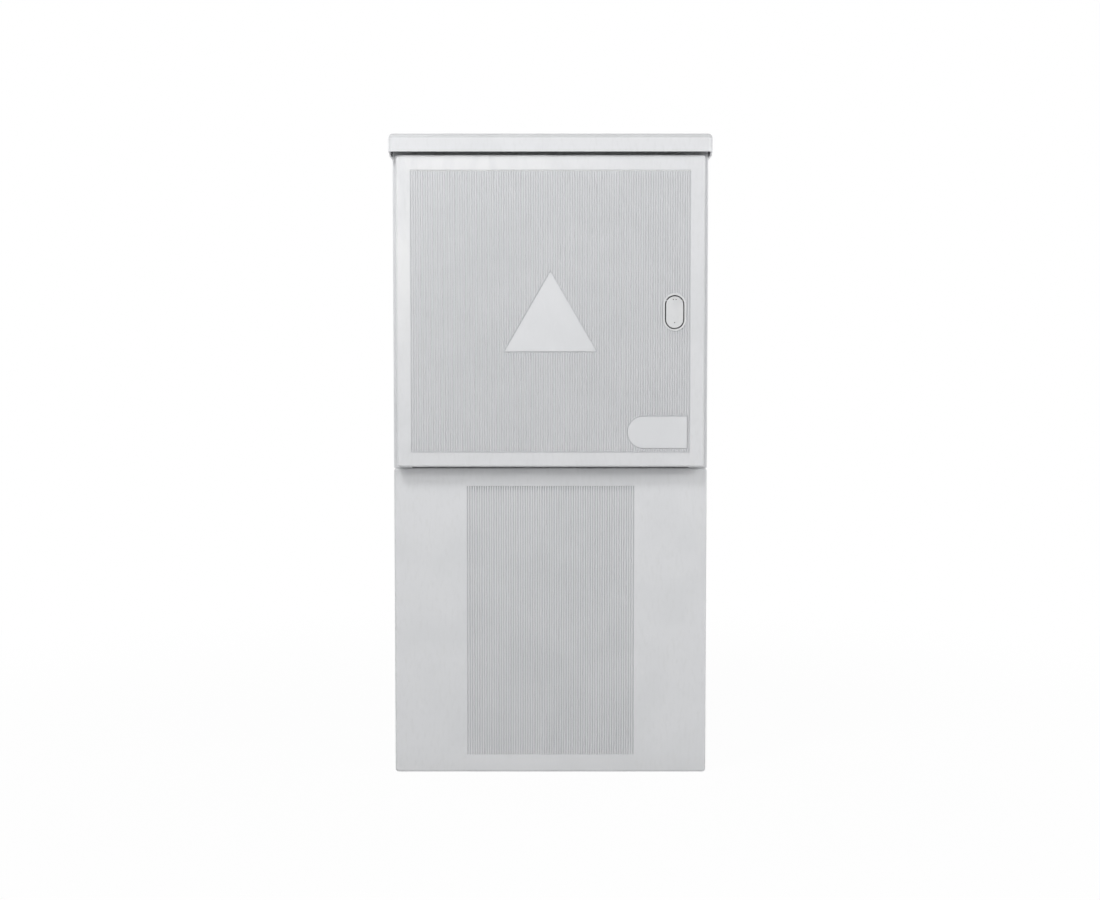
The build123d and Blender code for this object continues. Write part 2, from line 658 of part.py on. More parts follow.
gasket_y = (Y_FRAME - GASKET_FREE - GASKET_H, Y_FRAME - GASKET_FREE)
door_panel += gasket_ring((Y_SKIN - FIT, gasket_y[0]))
door_gasket = gasket_ring(gasket_y)

# Hinges
hinge_brackets = []
hinge_pins = []
foot_x = (HINGE_X - TAB_T, HINGE_X - TAB_T + FOOT_W)
for level in HINGE_LEVELS:
    eye_z = about(level, EYE_H)
    tab_x = about(HINGE_X, TAB_T)
    bracket = block(foot_x, (Y_FRAME + WALL, Y_FRAME + WALL + FOOT_T), about(level, FOOT_H))
    bracket += block(tab_x, (HINGE_Y, Y_FRAME + WALL + FOOT_T), eye_z)
    bracket += round_z(EYE_R, HINGE_X, HINGE_Y, eye_z)
    bracket -= round_z(PIN_R + RUN, HINGE_X, HINGE_Y, grown(eye_z, OVER))
    left_side_panel -= block(grown(tab_x, FIT), grown((Y_FRAME, Y_FRAME + WALL), OVER), grown(eye_z, FIT))
    for z in about(level, (EYE_H + FOOT_H) / 2):
        seat = (sum(foot_x) / 2, Y_FRAME + WALL + FOOT_T, z)
        bracket -= drill(seat, BACK, M4_R + FIT, FOOT_T + OVER)
        left_side_panel -= drill((seat[0], Y_FRAME + WALL, z), BACK, M4_R + RUN, BLIND)
        frame_screws.append(m4(seat, BACK, FOOT_T + BLIND))
    hinge_brackets.append(bracket)

    hub_low = (eye_z[0] - HUB_GAP - HUB_H, eye_z[0] - HUB_GAP)
    hub_high = (eye_z[1] + HUB_GAP, eye_z[1] + HUB_GAP + HUB_H)
    hub_back = (Y_SKIN - FIT, HINGE_Y)
    for hub_z in (hub_low, hub_high):
        door_panel += round_z(HUB_R, HINGE_X, HINGE_Y, hub_z)
        door_panel += block(about(HINGE_X, 2 * HUB_R), hub_back, hub_z)
    notch_y = (HINGE_Y - NOTCH_FRONT, Y_FRAME)
    notch_x = (door_x[0] - OVER, HINGE_X - TAB_T / 2)
    door_panel -= block(notch_x, notch_y, grown(eye_z, HUB_GAP))
    pin_z = (hub_low[0], hub_high[1])
    door_panel -= round_z(PIN_R + RUN, HINGE_X, HINGE_Y, grown(pin_z, OVER))
    pin = round_z(PIN_R, HINGE_X, HINGE_Y, pin_z)
    head_z = (hub_high[1] + HUB_GAP / 2, hub_high[1] + HUB_GAP / 2 + PIN_HEAD_H)
    pin += round_z(PIN_R, HINGE_X, HINGE_Y, (hub_high[1], head_z[0]))
    pin += round_z(PIN_HEAD_R, HINGE_X, HINGE_Y, head_z)
    hinge_pins.append(pin)
lower_hinge_bracket, upper_hinge_bracket = hinge_brackets
lower_hinge_pin, upper_hinge_pin = hinge_pins

# Bezel cup in the lock opening, and the flap on its pin
cup_back = Y_DOOR + CUP_DEPTH
lock_bezel = prism_y(stadium(BEZEL_RING), (Y_DOOR - BEZEL_PROUD, Y_DOOR))
lock_bezel += prism_y(stadium(CUP_WALL), (Y_DOOR, cup_back))
lock_bezel -= prism_y(stadium(0), (Y_DOOR - BEZEL_PROUD - OVER, cup_back - CUP_WALL))
lock_bezel -= round_y(JOURNAL_R + OVER, LOCK_X, LOCK_Z, grown((cup_back - CUP_WALL, cup_back), OVER))

flap_y = (Y_DOOR, Y_DOOR + FLAP_T)
flap_top = LOCK_Z + CUP_H / 2 - FLAP_GAP
flap_low = LOCK_Z - CUP_H / 2 + FLAP_GAP
flap_axis_y = sum(flap_y) / 2
flap_axis_z = flap_top - FLAP_AXIS_DROP
lock_flap = prism_y(stadium(-FLAP_GAP), flap_y)
lock_flap -= round_x(FLAP_PIN_R + RUN, flap_axis_y, flap_axis_z, about(LOCK_X, CUP_W))
for x in about(LOCK_X, DOT_SPACING):
    lock_flap -= drill((x, Y_DOOR, flap_top - DOT_TOP), FORWARD, DOT_R, DOT_DEPTH)
lock_flap -= drill((LOCK_X, Y_DOOR, flap_low + DOT_LOW), FORWARD, DOT_R, DOT_DEPTH)

# The pin reaches into the cup wall on both sides, where the round end of the cup is narrower
cup_r = CUP_W / 2
end_rise = flap_axis_z - (LOCK_Z + CUP_H / 2 - cup_r)
cup_half = (cup_r ** 2 - max(end_rise, 0) ** 2) ** 0.5
flap_pin = round_x(FLAP_PIN_R, flap_axis_y, flap_axis_z, about(LOCK_X, 2 * (cup_half + FLAP_PIN_GRIP)))
lock_bezel -= flap_pin

# Lock case, cover and their screws
case_y = (cup_back, cup_back + CASE_T)
cover_y = (Y_FRAME + COVER_BACK - CASE_T, Y_FRAME + COVER_BACK)
case_x = about(LOCK_X, CASE_W)
lock_case = block(case_x, case_y, about(LOCK_Z, CASE_PLATE_H))
case_z = about(LOCK_Z, CASE_H)
channel_y = (case_y[1], cover_y[0])
lock_case += block((case_x[0], case_x[0] + CASE_T), channel_y, case_z)
lock_case += block((case_x[1] - CASE_T, case_x[1]), channel_y, case_z)
lock_cover = block(case_x, cover_y, case_z)
lock_cover_screws = []
for z in about(LOCK_Z, 2 * PILLAR_Z):
    seat = (LOCK_X, cover_y[1], z)
    lock_case += round_y(PILLAR_R, LOCK_X, z, channel_y)
    lock_case -= drill((LOCK_X, cover_y[0], z), BACK, M4_R + RUN, SMALL_BITE + FIT)
    lock_cover -= drill(seat, BACK, M4_R + FIT, CASE_T + OVER)
    lock_cover_screws.append(m4(seat, BACK, CASE_T + SMALL_BITE))
lock_case -= round_y(JOURNAL_R + RUN, LOCK_X, LOCK_Z, grown(case_y, OVER))
lock_cover -= round_y(REAR_JOURNAL_R + RUN, LOCK_X, LOCK_Z, grown(cover_y, OVER))


def door_boss(panel, x, z, seat):
    """Drilled boss inside the door skin."""
    panel += round_y(SMALL_BOSS_R, x, z, (Y_SKIN - FIT, seat))
    return panel - drill((x, seat, z), BACK, M4_R + RUN, SMALL_BITE + FIT)


door_screws = []
for x in about(LOCK_X, 2 * CASE_SCREW_X):
    for z in about(LOCK_Z, 2 * CASE_SCREW_Z):
        seat = (x, case_y[1], z)
        door_panel = door_boss(door_panel, x, z, case_y[0])
        lock_case -= drill(seat, BACK, M4_R + FIT, CASE_T + OVER)
        door_screws.append(m4(seat, BACK, CASE_T + SMALL_BITE))

# Pinion and racks
pitch_r = TOOTH_MODULE * TEETH / 2
base_r = pitch_r * cos(radians(PRESSURE_DEG))
root_r = pitch_r - ROOT_SHARE * TOOTH_MODULE
tip_r = pitch_r + TIP_SHARE * TOOTH_MODULE
tooth_pitch = pi * TOOTH_MODULE
tooth_t = tooth_pitch / 2 - BACKLASH
rod_y = (Y_FRAME + ROD_BACK, Y_FRAME + ROD_BACK + ROD_T)


def involute(angle):
    return tan(angle) - angle


def flank(radius):
    """Half angle of a pinion tooth at a radius."""
    at_pitch = tooth_t / 2 / pitch_r + involute(radians(PRESSURE_DEG))
    return at_pitch - involute(acos(min(base_r / radius, 1)))


def polar(radius, angle):
    return (radius * cos(angle), radius * sin(angle))


def pinion_outline():
    """Root disc with involute teeth; one tooth points along +X."""
    low = polar(root_r - FIT, flank(base_r))
    foot = polar(base_r, flank(base_r))
    middle = polar((base_r + tip_r) / 2, flank((base_r + tip_r) / 2))
    tip = polar(tip_r, flank(tip_r))
    edges = Line(low, foot) + ThreePointArc(foot, middle, tip)
    edges += Line(tip, (tip[0], -tip[1]))
    edges += ThreePointArc((tip[0], -tip[1]), (middle[0], -middle[1]), (foot[0], -foot[1]))
    edges += Line((foot[0], -foot[1]), (low[0], -low[1])) + Line((low[0], -low[1]), low)
    tooth = make_face(edges)
    outline = Sketch() + Circle(root_r)
    for i in range(TEETH):
        outline += Rot(0, 0, 360 * i / TEETH) * tooth
    return Pos(LOCK_X, LOCK_Z) * outline


def lock_rod(side, z_end):
    """Flat rod with a rack; side is -1 for the left rod that goes up, +1 for the right one."""
    up = -side
    root_x = LOCK_X + side * (pitch_r + ROOT_SHARE * TOOTH_MODULE)
    tip_x = LOCK_X + side * (pitch_r - TIP_SHARE * TOOTH_MODULE)
    tail = LOCK_Z - up * RACK_TAIL
    rod_x = sorted((root_x, root_x + side * ROD_W))
    rod = block(rod_x, rod_y, sorted((tail, z_end)))
    slope = tan(radians(PRESSURE_DEG))
    root_half = tooth_t / 2 + ROOT_SHARE * TOOTH_MODULE * slope
    tip_half = tooth_t / 2 - TIP_SHARE * TOOTH_MODULE * slope
    sunk_x = root_x + side * FIT
    below = floor((RACK_TAIL - root_half) / tooth_pitch - 0.5)
    above = floor((RACK_HEAD - root_half) / tooth_pitch - 0.5)
    for i in range(-below - 1, above + 1):
        mid = LOCK_Z + up * (i + 0.5) * tooth_pitch
        tooth = polygon([
            (sunk_x, mid - root_half), (root_x, mid - root_half), (tip_x, mid - tip_half),
            (tip_x, mid + tip_half), (root_x, mid + root_half), (sunk_x, mid + root_half),
        ])
        rod += prism_y(tooth, rod_y)
    return rod, rod_x


upper_lock_rod, upper_rod_x = lock_rod(-1, Z_SEAT - HEADER_H - ROD_FREE)
lower_lock_rod, lower_rod_x = lock_rod(1, floor_z[0] + SILL_H + ROD_FREE)

nut_y = (cam_y[1], cam_y[1] + NUT_H)
stud = Pos(LOCK_X, LOCK_Z) * RegularPolygon(STUD_R, 3, rotation=90)
lock_spindle = prism_y(stud, (Y_DOOR + STUD_BACK, cup_back - CUP_WALL))
lock_spindle += round_y(JOURNAL_R, LOCK_X, LOCK_Z, (cup_back - CUP_WALL, rod_y[0]))
lock_spindle += prism_y(pinion_outline(), rod_y)
lock_spindle += round_y(REAR_JOURNAL_R, LOCK_X, LOCK_Z, (rod_y[1], cam_y[0]))
square = Pos(LOCK_X, LOCK_Z) * Rectangle(SQUARE, SQUARE)
lock_spindle += prism_y(square, cam_y)
lock_spindle += round_y(THREAD_R, LOCK_X, LOCK_Z, (cam_y[1], nut_y[1] + SPINDLE_END))

cam = Pos(LOCK_X, LOCK_Z) * Circle(CAM_HUB_R)
cam_tip = LOCK_Z + CAM_REACH - CAM_W / 2
cam += Pos(LOCK_X, (LOCK_Z + cam_tip) / 2) * Rectangle(CAM_W, cam_tip - LOCK_Z)
cam += Pos(LOCK_X, cam_tip) * Circle(CAM_W / 2)
cam -= Pos(LOCK_X, LOCK_Z) * Rectangle(SQUARE + RUN, SQUARE + RUN)
latch_cam = prism_y(cam, cam_y)
nut = Pos(LOCK_X, LOCK_Z) * hexagon(NUT_FLATS)
cam_nut = prism_y(nut - Pos(LOCK_X, LOCK_Z) * Circle(THREAD_R + RUN), nut_y)


# Rod guides on the door
def rod_guide(rod_x, level):
    """Moulded guide with a slot for the rod; its base stands on two door bosses."""
    mid = sum(rod_x) / 2
    base_y = (Y_SKIN + GUIDE_LIFT, Y_SKIN + GUIDE_LIFT + GUIDE_BASE_T)
    z = about(level, GUIDE_H)
    guide = block(grown(rod_x, GUIDE_WALL), base_y, about(level, GUIDE_BASE_H))
    guide += block(grown(rod_x, GUIDE_WALL), (base_y[0], rod_y[1] + GUIDE_WALL), z)
    guide -= block(grown(rod_x, GUIDE_SLIDE), grown(rod_y, GUIDE_SLIDE), grown(z, OVER))
    return guide, [(mid, base_y, screw_z) for screw_z in about(level, 2 * GUIDE_SCREW)]


rod_guide_upper, upper_points = rod_guide(upper_rod_x, Z_DOOR_TOP - GUIDE_END)
rod_guide_lower, lower_points = rod_guide(lower_rod_x, Z_DOOR + GUIDE_END)
for x, base_y, z in upper_points + lower_points:
    door_panel = door_boss(door_panel, x, z, base_y[0])
    door_screws.append(m4((x, base_y[1], z), BACK, GUIDE_BASE_T + SMALL_BITE))
    hole = drill((x, base_y[1], z), BACK, M4_R + FIT, GUIDE_BASE_T + OVER)
    rod_guide_upper -= hole
    rod_guide_lower -= hole

# Mounting plate on stand-offs
plate_y = (Y_PLATE, Y_PLATE + PLATE_T)
mounting_plate = block(plate_x, plate_y, plate_z)
mounting_plate = fillet(mounting_plate.edges().filter_by(Axis.Y), PLATE_CORNER_R)
plate_standoffs = []
plate_screws = []
for x, z in plate_points:
    seat = (x, Y_PLATE, z)
    mounting_plate -= drill(seat, FORWARD, M6_R + FIT, PLATE_T + OVER)
    post = round_y(STANDOFF_R, x, z, (plate_y[1], Y_REAR - WALL))
    plate_standoffs.append(post - drill((x, plate_y[1], z), FORWARD, M6_R + RUN, BOSS_BITE + FIT))
    plate_screws.append(m6(seat, FORWARD, PLATE_T + BOSS_BITE))

# Busbars in their supports
bar_y = (Y_PLATE - BAR_LIFT, Y_PLATE - BAR_LIFT + BAR_T)
bar_x = grown(plate_x, -BAR_END)
bar_levels = [plate_z[1] - WAY_TOP - WAY_END - i * BAR_PITCH for i in range(3)]
busbar_top, busbar_middle, busbar_bottom = [
    block(bar_x, bar_y, about(level, BAR_H)) for level in bar_levels]
support_z = (bar_levels[-1] - SUPPORT_END, bar_levels[0] + SUPPORT_END)


def busbar_support(x):
    """Moulded support with a seat for each bar and an open pocket between the bars."""
    x_limits = about(x, SUPPORT_W)
    support = block(x_limits, (bar_y[0], Y_PLATE), support_z)
    for level in bar_levels:
        support -= block(grown(x_limits, OVER), (bar_y[0] - OVER, bar_y[1]), about(level, BAR_H))
    pocket_y = about((bar_y[1] + Y_PLATE) / 2, SUPPORT_POCKET_SHARE * (BAR_LIFT - BAR_T))
    for high, low in zip(bar_levels, bar_levels[1:]):
        support -= block(grown(x_limits, OVER), pocket_y, about((high + low) / 2, SUPPORT_POCKET_H))
    return support


busbar_support_left = busbar_support(bar_x[0] + SUPPORT_IN)
busbar_support_right = busbar_support(bar_x[1] - SUPPORT_IN)

# Neutral bar on insulators
neutral_x = grown(plate_x, -NEUTRAL_END)
neutral_z = plate_z[0] + NEUTRAL_RISE
neutral_y = (Y_PLATE - NEUTRAL_LIFT - NEUTRAL_T, Y_PLATE - NEUTRAL_LIFT)
neutral_bar = block(neutral_x, neutral_y, about(neutral_z, NEUTRAL_H))
bolt_spaces = floor((neutral_x[1] - neutral_x[0] - 2 * NEUTRAL_BOLT_EDGE) / NEUTRAL_BOLT_PITCH)
first_bolt = -bolt_spaces * NEUTRAL_BOLT_PITCH / 2
neutral_insulators = []
insulator_x = first_bolt + NEUTRAL_BOLT_PITCH / 2
for x in (insulator_x, -insulator_x):
    post = round_y(INSULATOR_NECK_R, x, neutral_z, (neutral_y[1], Y_PLATE))
    for i in range(3):
        shed_mid = neutral_y[1] + (i + 0.5) * NEUTRAL_LIFT / 3
        post += round_y(INSULATOR_R, x, neutral_z, about(shed_mid, NEUTRAL_LIFT / 6))
    neutral_insulators.append(post)
neutral_bolts = []
for i in range(bolt_spaces + 1):
    seat = (first_bolt + i * NEUTRAL_BOLT_PITCH, neutral_y[0], neutral_z)
    neutral_bar -= drill(seat, FORWARD, M8_R + RUN, NEUTRAL_T + OVER)
    neutral_bolts.append(m8(seat, FORWARD, NEUTRAL_BOLT_L))

# Fuse rails with three pockets, and the links in them
way_z = (bar_levels[-1] - WAY_TAIL, bar_levels[0] + WAY_END)
way_front = bar_y[0] - WAY_D
pocket_floor = way_front + POCKET_D


def fuse_rail(x):
    """Moulded rail in front of the three bars."""
    profile = polygon([
        (bar_y[0], way_z[0]),
        (bar_y[0], way_z[1]),
        (way_front, way_z[1]),
        (way_front, way_z[0] + TAIL_H),
        (way_front - TAIL_PROUD, way_z[0] + TAIL_H - TAIL_PROUD),
        (way_front - TAIL_PROUD, way_z[0]),
    ])
    rail = prism_x(profile, about(x, WAY_W))
    for level in bar_levels:
        pocket_z = about(level, POCKET_H)
        rail -= block(about(x, POCKET_W), (way_front - OVER, pocket_floor), pocket_z)
        for jaw_mid in grown(pocket_z, -JAW_H / 2):
            rail += block(about(x, JAW_W), (pocket_floor - JAW_D, pocket_floor), about(jaw_mid, JAW_H))
    return rail


def fuse_link(x, level):
    """Link body with end blades on the jaws and gripping lugs in front."""
    link_y = (pocket_floor - LINK_FREE - LINK_D, pocket_floor - LINK_FREE)
    link = block(about(x, LINK_W), link_y, about(level, LINK_H))
    link = fillet(link.edges().filter_by(Axis.Z), LINK_R)
    blade_y = (pocket_floor - JAW_D - BLADE_T, pocket_floor - JAW_D)
    link += block(about(x, BLADE_W), blade_y, about(level, POCKET_H - JAW_H))
    for z in about(level, LINK_H - 2 * LUG_INSET):
        link += block(about(x, LUG_W), (link_y[0] - LUG_D, link_y[0]), about(z, LUG_T))
    return link


way_xs = [(i - (WAYS - 1) / 2) * WAY_PITCH for i in range(WAYS)]

# Export, one file for each node
nodes = {
    "plinth_front_panel": plinth_front_panel,
    "plinth_rear_panel": plinth_rear_panel,
    "plinth_left_side": plinth_left_side,
    "plinth_right_side": plinth_right_side,
    "cable_rail": cable_rail,
    "cable_rail_screws": cable_rail_screws,
    "left_side_panel": left_side_panel,
    "right_side_panel": right_side_panel,
    "rear_panel": rear_panel,
    "panel_screws": panel_screws,
    "floor_plate": floor_plate,
    "floor_bolts": floor_bolts,
    "front_header": front_header,
    "frame_screws": frame_screws,
    "centre_keeper": centre_keeper,
    "roof_hood": roof_hood,
    "roof_screws": roof_screws,
    "upper_hinge_bracket": upper_hinge_bracket,
    "lower_hinge_bracket": lower_hinge_bracket,
    "upper_hinge_pin": upper_hinge_pin,
    "lower_hinge_pin": lower_hinge_pin,
    "door_panel": door_panel,
    "door_gasket": door_gasket,
    "door_screws": door_screws,
    "lock_bezel": lock_bezel,
    "flap_pin": flap_pin,
    "lock_flap": lock_flap,
    "lock_case": lock_case,
    "lock_cover": lock_cover,
    "lock_cover_screws": lock_cover_screws,
    "lock_spindle": lock_spindle,
    "latch_cam": latch_cam,
    "cam_nut": cam_nut,
    "upper_lock_rod": upper_lock_rod,
    "lower_lock_rod": lower_lock_rod,
    "rod_guide_upper": rod_guide_upper,
    "rod_guide_lower": rod_guide_lower,
    "mounting_plate": mounting_plate,
    "plate_standoffs": plate_standoffs,
    "plate_screws": plate_screws,
    "busbar_support_left": busbar_support_left,
    "busbar_support_right": busbar_support_right,
    "busbar_top": busbar_top,
    "busbar_middle": busbar_middle,
    "busbar_bottom": busbar_bottom,
    "neutral_bar": neutral_bar,
    "neutral_insulators": neutral_insulators,
    "neutral_bolts": neutral_bolts,
}
for i, x in enumerate(way_xs, 1):
    nodes[f"fuse_rail_{i}"] = fuse_rail(x)
    nodes[f"fuse_links_{i}"] = [fuse_link(x, level) for level in bar_levels]

os.makedirs("parts", exist_ok=True)
for name, shape in nodes.items():
    solid = Compound(shape) if isinstance(shape, list) else shape
    export_step(solid, f"parts/{name}.step")
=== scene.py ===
"""Looks of a roadside utility cabinet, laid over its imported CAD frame. Lengths are in metres."""

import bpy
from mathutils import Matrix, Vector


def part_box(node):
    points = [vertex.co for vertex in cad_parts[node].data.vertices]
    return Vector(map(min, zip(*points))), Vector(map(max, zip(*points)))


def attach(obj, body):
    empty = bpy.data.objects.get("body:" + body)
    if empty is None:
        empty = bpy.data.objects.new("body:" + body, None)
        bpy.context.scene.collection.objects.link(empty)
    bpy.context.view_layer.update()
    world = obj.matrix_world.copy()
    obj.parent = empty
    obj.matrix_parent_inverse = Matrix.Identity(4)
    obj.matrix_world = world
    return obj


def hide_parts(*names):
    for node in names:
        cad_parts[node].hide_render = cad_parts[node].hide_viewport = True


bl_info = {
    "name": "Roadside utility cabinet",
    "version": (1, 0, 0),
    "blender": (4, 5, 0),
    "location": "View3D > Sidebar > Cabinet",
    "description": "Finishes, seal, fasteners and stage of a moulded utility cabinet on a plinth",
    "category": "Object",
}

from math import cos, pi, radians, sqrt, tan

import bmesh
import bpy
from bpy.props import FloatProperty, FloatVectorProperty, IntProperty, PointerProperty
from mathutils import Vector

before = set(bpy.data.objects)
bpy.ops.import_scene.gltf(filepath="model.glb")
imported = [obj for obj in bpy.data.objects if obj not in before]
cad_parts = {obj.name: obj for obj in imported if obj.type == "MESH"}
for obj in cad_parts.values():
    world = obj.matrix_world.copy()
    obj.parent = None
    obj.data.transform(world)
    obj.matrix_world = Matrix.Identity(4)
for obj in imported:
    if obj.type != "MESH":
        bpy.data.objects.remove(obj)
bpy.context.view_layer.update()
MILLI = 0.001
NEAR = MILLI / 10
MERGE = MILLI / 100
SMOOTH_ANGLE = radians(35)
SHARP_ANGLE = radians(60)
FACING_SHARE = 0.9
EVEN_SHARE = 0.99
PLASTIC_IOR = 1.5


# Settings

def screen(red, green, blue):
    """Linear colour of an 8-bit screen colour."""
    shares = [level / 255 for level in (red, green, blue)]
    return tuple(s / 12.92 if s <= 0.04045 else ((s + 0.055) / 1.055) ** 2.4 for s in shares)


def colour(name, description, *levels):
    """Colour property from its screen levels."""
    return FloatVectorProperty(name=name, description=description, subtype="COLOR",
                               size=3, min=0, max=1, default=screen(*levels))


def length(name, description, millimetres):
    """Length property from millimetres."""
    return FloatProperty(name=name, description=description, unit="LENGTH", subtype="DISTANCE",
                         min=0, default=millimetres * MILLI)


def share(name, description, value):
    """Property between nothing and all."""
    return FloatProperty(name=name, description=description, subtype="FACTOR", min=0, max=1, default=value)


def multiple(name, description, value):
    """Property for how many times as large something is."""
    return FloatProperty(name=name, description=description, min=1, default=value)


def place(name, description, *metres):
    """Property for a place in the frame."""
    return FloatVectorProperty(name=name, description=description, unit="LENGTH", subtype="TRANSLATION",
                               size=3, default=metres)


def lamp_size(name, description, *metres):
    """Property for the width and height of a softbox."""
    return FloatVectorProperty(name=name, description=description, unit="LENGTH", subtype="XYZ_LENGTH",
                               size=2, min=0, default=metres)


def power(name, description, watts):
    """Property for the power of a softbox."""
    return FloatProperty(name=name, description=description, unit="POWER", min=0, default=watts)


def optics(name, description, millimetres):
    """Property for a length inside the camera, which stays in millimetres."""
    return FloatProperty(name=name, description=description, unit="CAMERA", subtype="DISTANCE_CAMERA",
                         min=1, default=millimetres)


class ShellSettings(bpy.types.PropertyGroup):
    """Moulded polyester of the panels, the door and the roof."""
    grey: colour("Panel grey", "Colour of the moulded panels", 221, 222, 224)
    cloud_grey: colour("Cloud grey", "Darker tone in the broad clouds of the moulding", 208, 210, 212)
    veil_grey: colour("Veil grey", "Tone of the fine glass veil under the surface", 212, 213, 214)
    # Darker tone of the ribs, and painted shade in the grooves, at their upper ends and round the smooth
    # plates.
    rib_tone_and_groove_shade: colour("Groove grey", "Matt tone and dust of the ribbed fields", 186, 187, 190)
    # Pale tone of the rubbed spots, also used for the painted light on the rib ends and the upper left margin
    # of the door.
    scuff_and_light_white: colour("Scuff white", "Rubbed spots on edges and faces", 238, 238, 238)
    grime: colour("Grime", "Splashed dirt above the ground", 176, 175, 170)
    # Dust and painted shade on the upward faces of the roof.
    roof_dust_and_shade: colour("Dust", "Dust on the roof", 158, 159, 160)
    roughness: share("Roughness", "Roughness of the moulded face", 0.36)
    gloss_share: share("Gloss clouds", "How far the clouds change the roughness", 0.16)
    cloud_share: share("Clouds", "Strength of the broad clouds", 0.3)
    cloud_size: length("Cloud size", "Size of the broad clouds", 110)
    veil_share: share("Veil", "Strength of the fine glass veil", 0.4)
    veil_size: length("Veil size", "Size of the strands of the glass veil", 6)
    rib_veil_share: share("Veil on ribs", "Share of the veil that shows on the ribbed fields", 0.25)
    rib_share: share("Door ribs", "Strength of the matt tone on the ribs of the door", 0.25)
    # Painted shade in the grooves of the door and in the groove round its smooth plates, deeper with depth.
    door_groove_shade_share: share("Door grooves", "Strength of the dust in the grooves of the door", 0.33)
    outline_shade_share: share("Outline dust", "Strength of the dust in the groove round the smooth plates", 0.22)
    # Painted light along the upper ends of the door's ribs, offsetting the shade of the step there.
    rib_end_light_share: share("Rib ends", "Strength of the rubbing along the upper ends of the door's ribs", 0.8)
    # Painted shade in the grooves of the plinth, deeper with depth, and more of it towards their upper ends
    # within the given reach.
    plinth_groove_shade_share: share("Plinth grooves", "Strength of the dust in the grooves of the plinth", 0.5)
    groove_end_shade_share: share("Groove end dust", "Strength of the dust at the upper ends of the plinth's grooves", 0.5)
    end_reach: length("Groove ends", "Reach of the dust at the upper ends of the plinth's grooves", 14)
    # Pale smears with painted light, which make the upper left margin of the door lighter.
    smear_and_light_share: share("Smears", "Strength of the pale smears on the upper left margin of the door", 0.58)
    smear_and_light_size: length("Smear size", "Size of the pale smears", 50)
    smear_and_light_rise_share: share("Smear rise", "Share of the door's height over which the smears set in", 0.8)
    scuff_share: share("Scuffs", "Strength of the rubbed spots", 0.15)
    scuff_size: length("Scuff size", "Size of the rubbed spots", 16)
    grime_share: share("Grime strength", "Strength of the splashed dirt", 0.08)
    splash_size: length("Splash size", "Size of the splashes", 30)
    splash_reach: length("Splash reach", "Height of the splashes above the ground", 50)
    # Strength of the dust and painted shade on the roof, and how far the clouds change it.
    dust_and_shade_share: share("Dust strength", "Strength of the dust on the roof", 0.43)
    dust_and_shade_cloud_share: share("Dust clouds", "How far the clouds change the dust on the roof", 0.2)
    dust_matt_share: share("Dust mattness", "How far the dust makes the roof matt", 0.4)
    wave_height: length("Waviness", "Height of the slow waves of the pressed face", 0.35)
    wave_size: length("Wave size", "Length of the slow waves of the pressed face", 90)
    peel_height: length("Peel", "Height of the fine peel of the surface", 0.012)
    peel_size: length("Peel size", "Size of the fine peel of the surface", 1.6)
    groove_depth: length("Groove depth", "Depth of the grooves in the ribbed fields", 1.5)
    front_reach: length("Front reach", "Depth behind a panel's face that counts as its front", 2.1)
    door_side: length("Door side", "Smooth margin at the sides of the door", 26)
    door_top: length("Door top", "Smooth margin at the top of the door", 28)
    door_low: length("Door bottom", "Smooth margin at the bottom of the door", 27)
    triangle_side: length("Triangle", "Side of the smooth triangle on the door", 173.6)
    dee_width: length("Plate width", "Width of the smooth plate with a round end", 112)
    dee_height: length("Plate height", "Height of the smooth plate with a round end", 59.4)
    dee_side: length("Plate side", "Distance of that plate from the edge of the door", 33)
    dee_low: length("Plate bottom", "Distance of that plate from the bottom of the door", 36.2)
    outline: length("Outline", "Width of the groove round the smooth plates", 2)
    plinth_field: length("Plinth field", "Width of the ribbed field on the plinth", 326)
    plinth_top: length("Plinth top", "Smooth margin at the top of the plinth", 35)


class LockSettings(bpy.types.PropertyGroup):
    """Lock bezel and flap."""
    grey: colour("Lock grey", "Colour of the bezel and the flap", 217, 218, 219)
    # Painted shade deepening into the gap round the flap, darkest on its left; the same colour tones the dirt
    # clouds.
    shade: colour("Recess dirt", "Dirt in the gap round the flap", 92, 93, 94)
    # Painted light on the right of the gap round the flap.
    pale: colour("Clean recess", "Clean plastic in the right of the gap", 246, 246, 246)
    # Painted shade in the dimples of the flap.
    dot: colour("Dimple dirt", "Dirt in the dimples of the flap", 34, 34, 35)
    roughness: share("Roughness", "Roughness of the lock plastic", 0.38)
    gloss_share: share("Gloss clouds", "How far the clouds change the roughness", 0.15)
    cloud_share: share("Clouds", "Strength of the clouds of dirt", 0.1)
    cloud_size: length("Cloud size", "Size of the clouds of dirt", 30)
    grain_size: length("Grain size", "Size of the grain of the plastic", 4)
    grain_height: length("Grain height", "Height of the grain of the plastic", 0.01)
    # Depths behind the flap's face over which the painted shade in the gap and in the dimples sets in and
    # becomes full.
    shade_start_depth: length("Clean depth", "Depth behind the flap's face at which dirt starts", 0.1)
    gap_depth: length("Gap depth", "Depth at which the dirt in the gap is full", 9)
    dimple_depth: length("Dimple depth", "Depth at which the dirt in the dimples is full", 0.7)
    dimple_end: length("Dimple end", "Depth past which nothing is a dimple", 1.2)


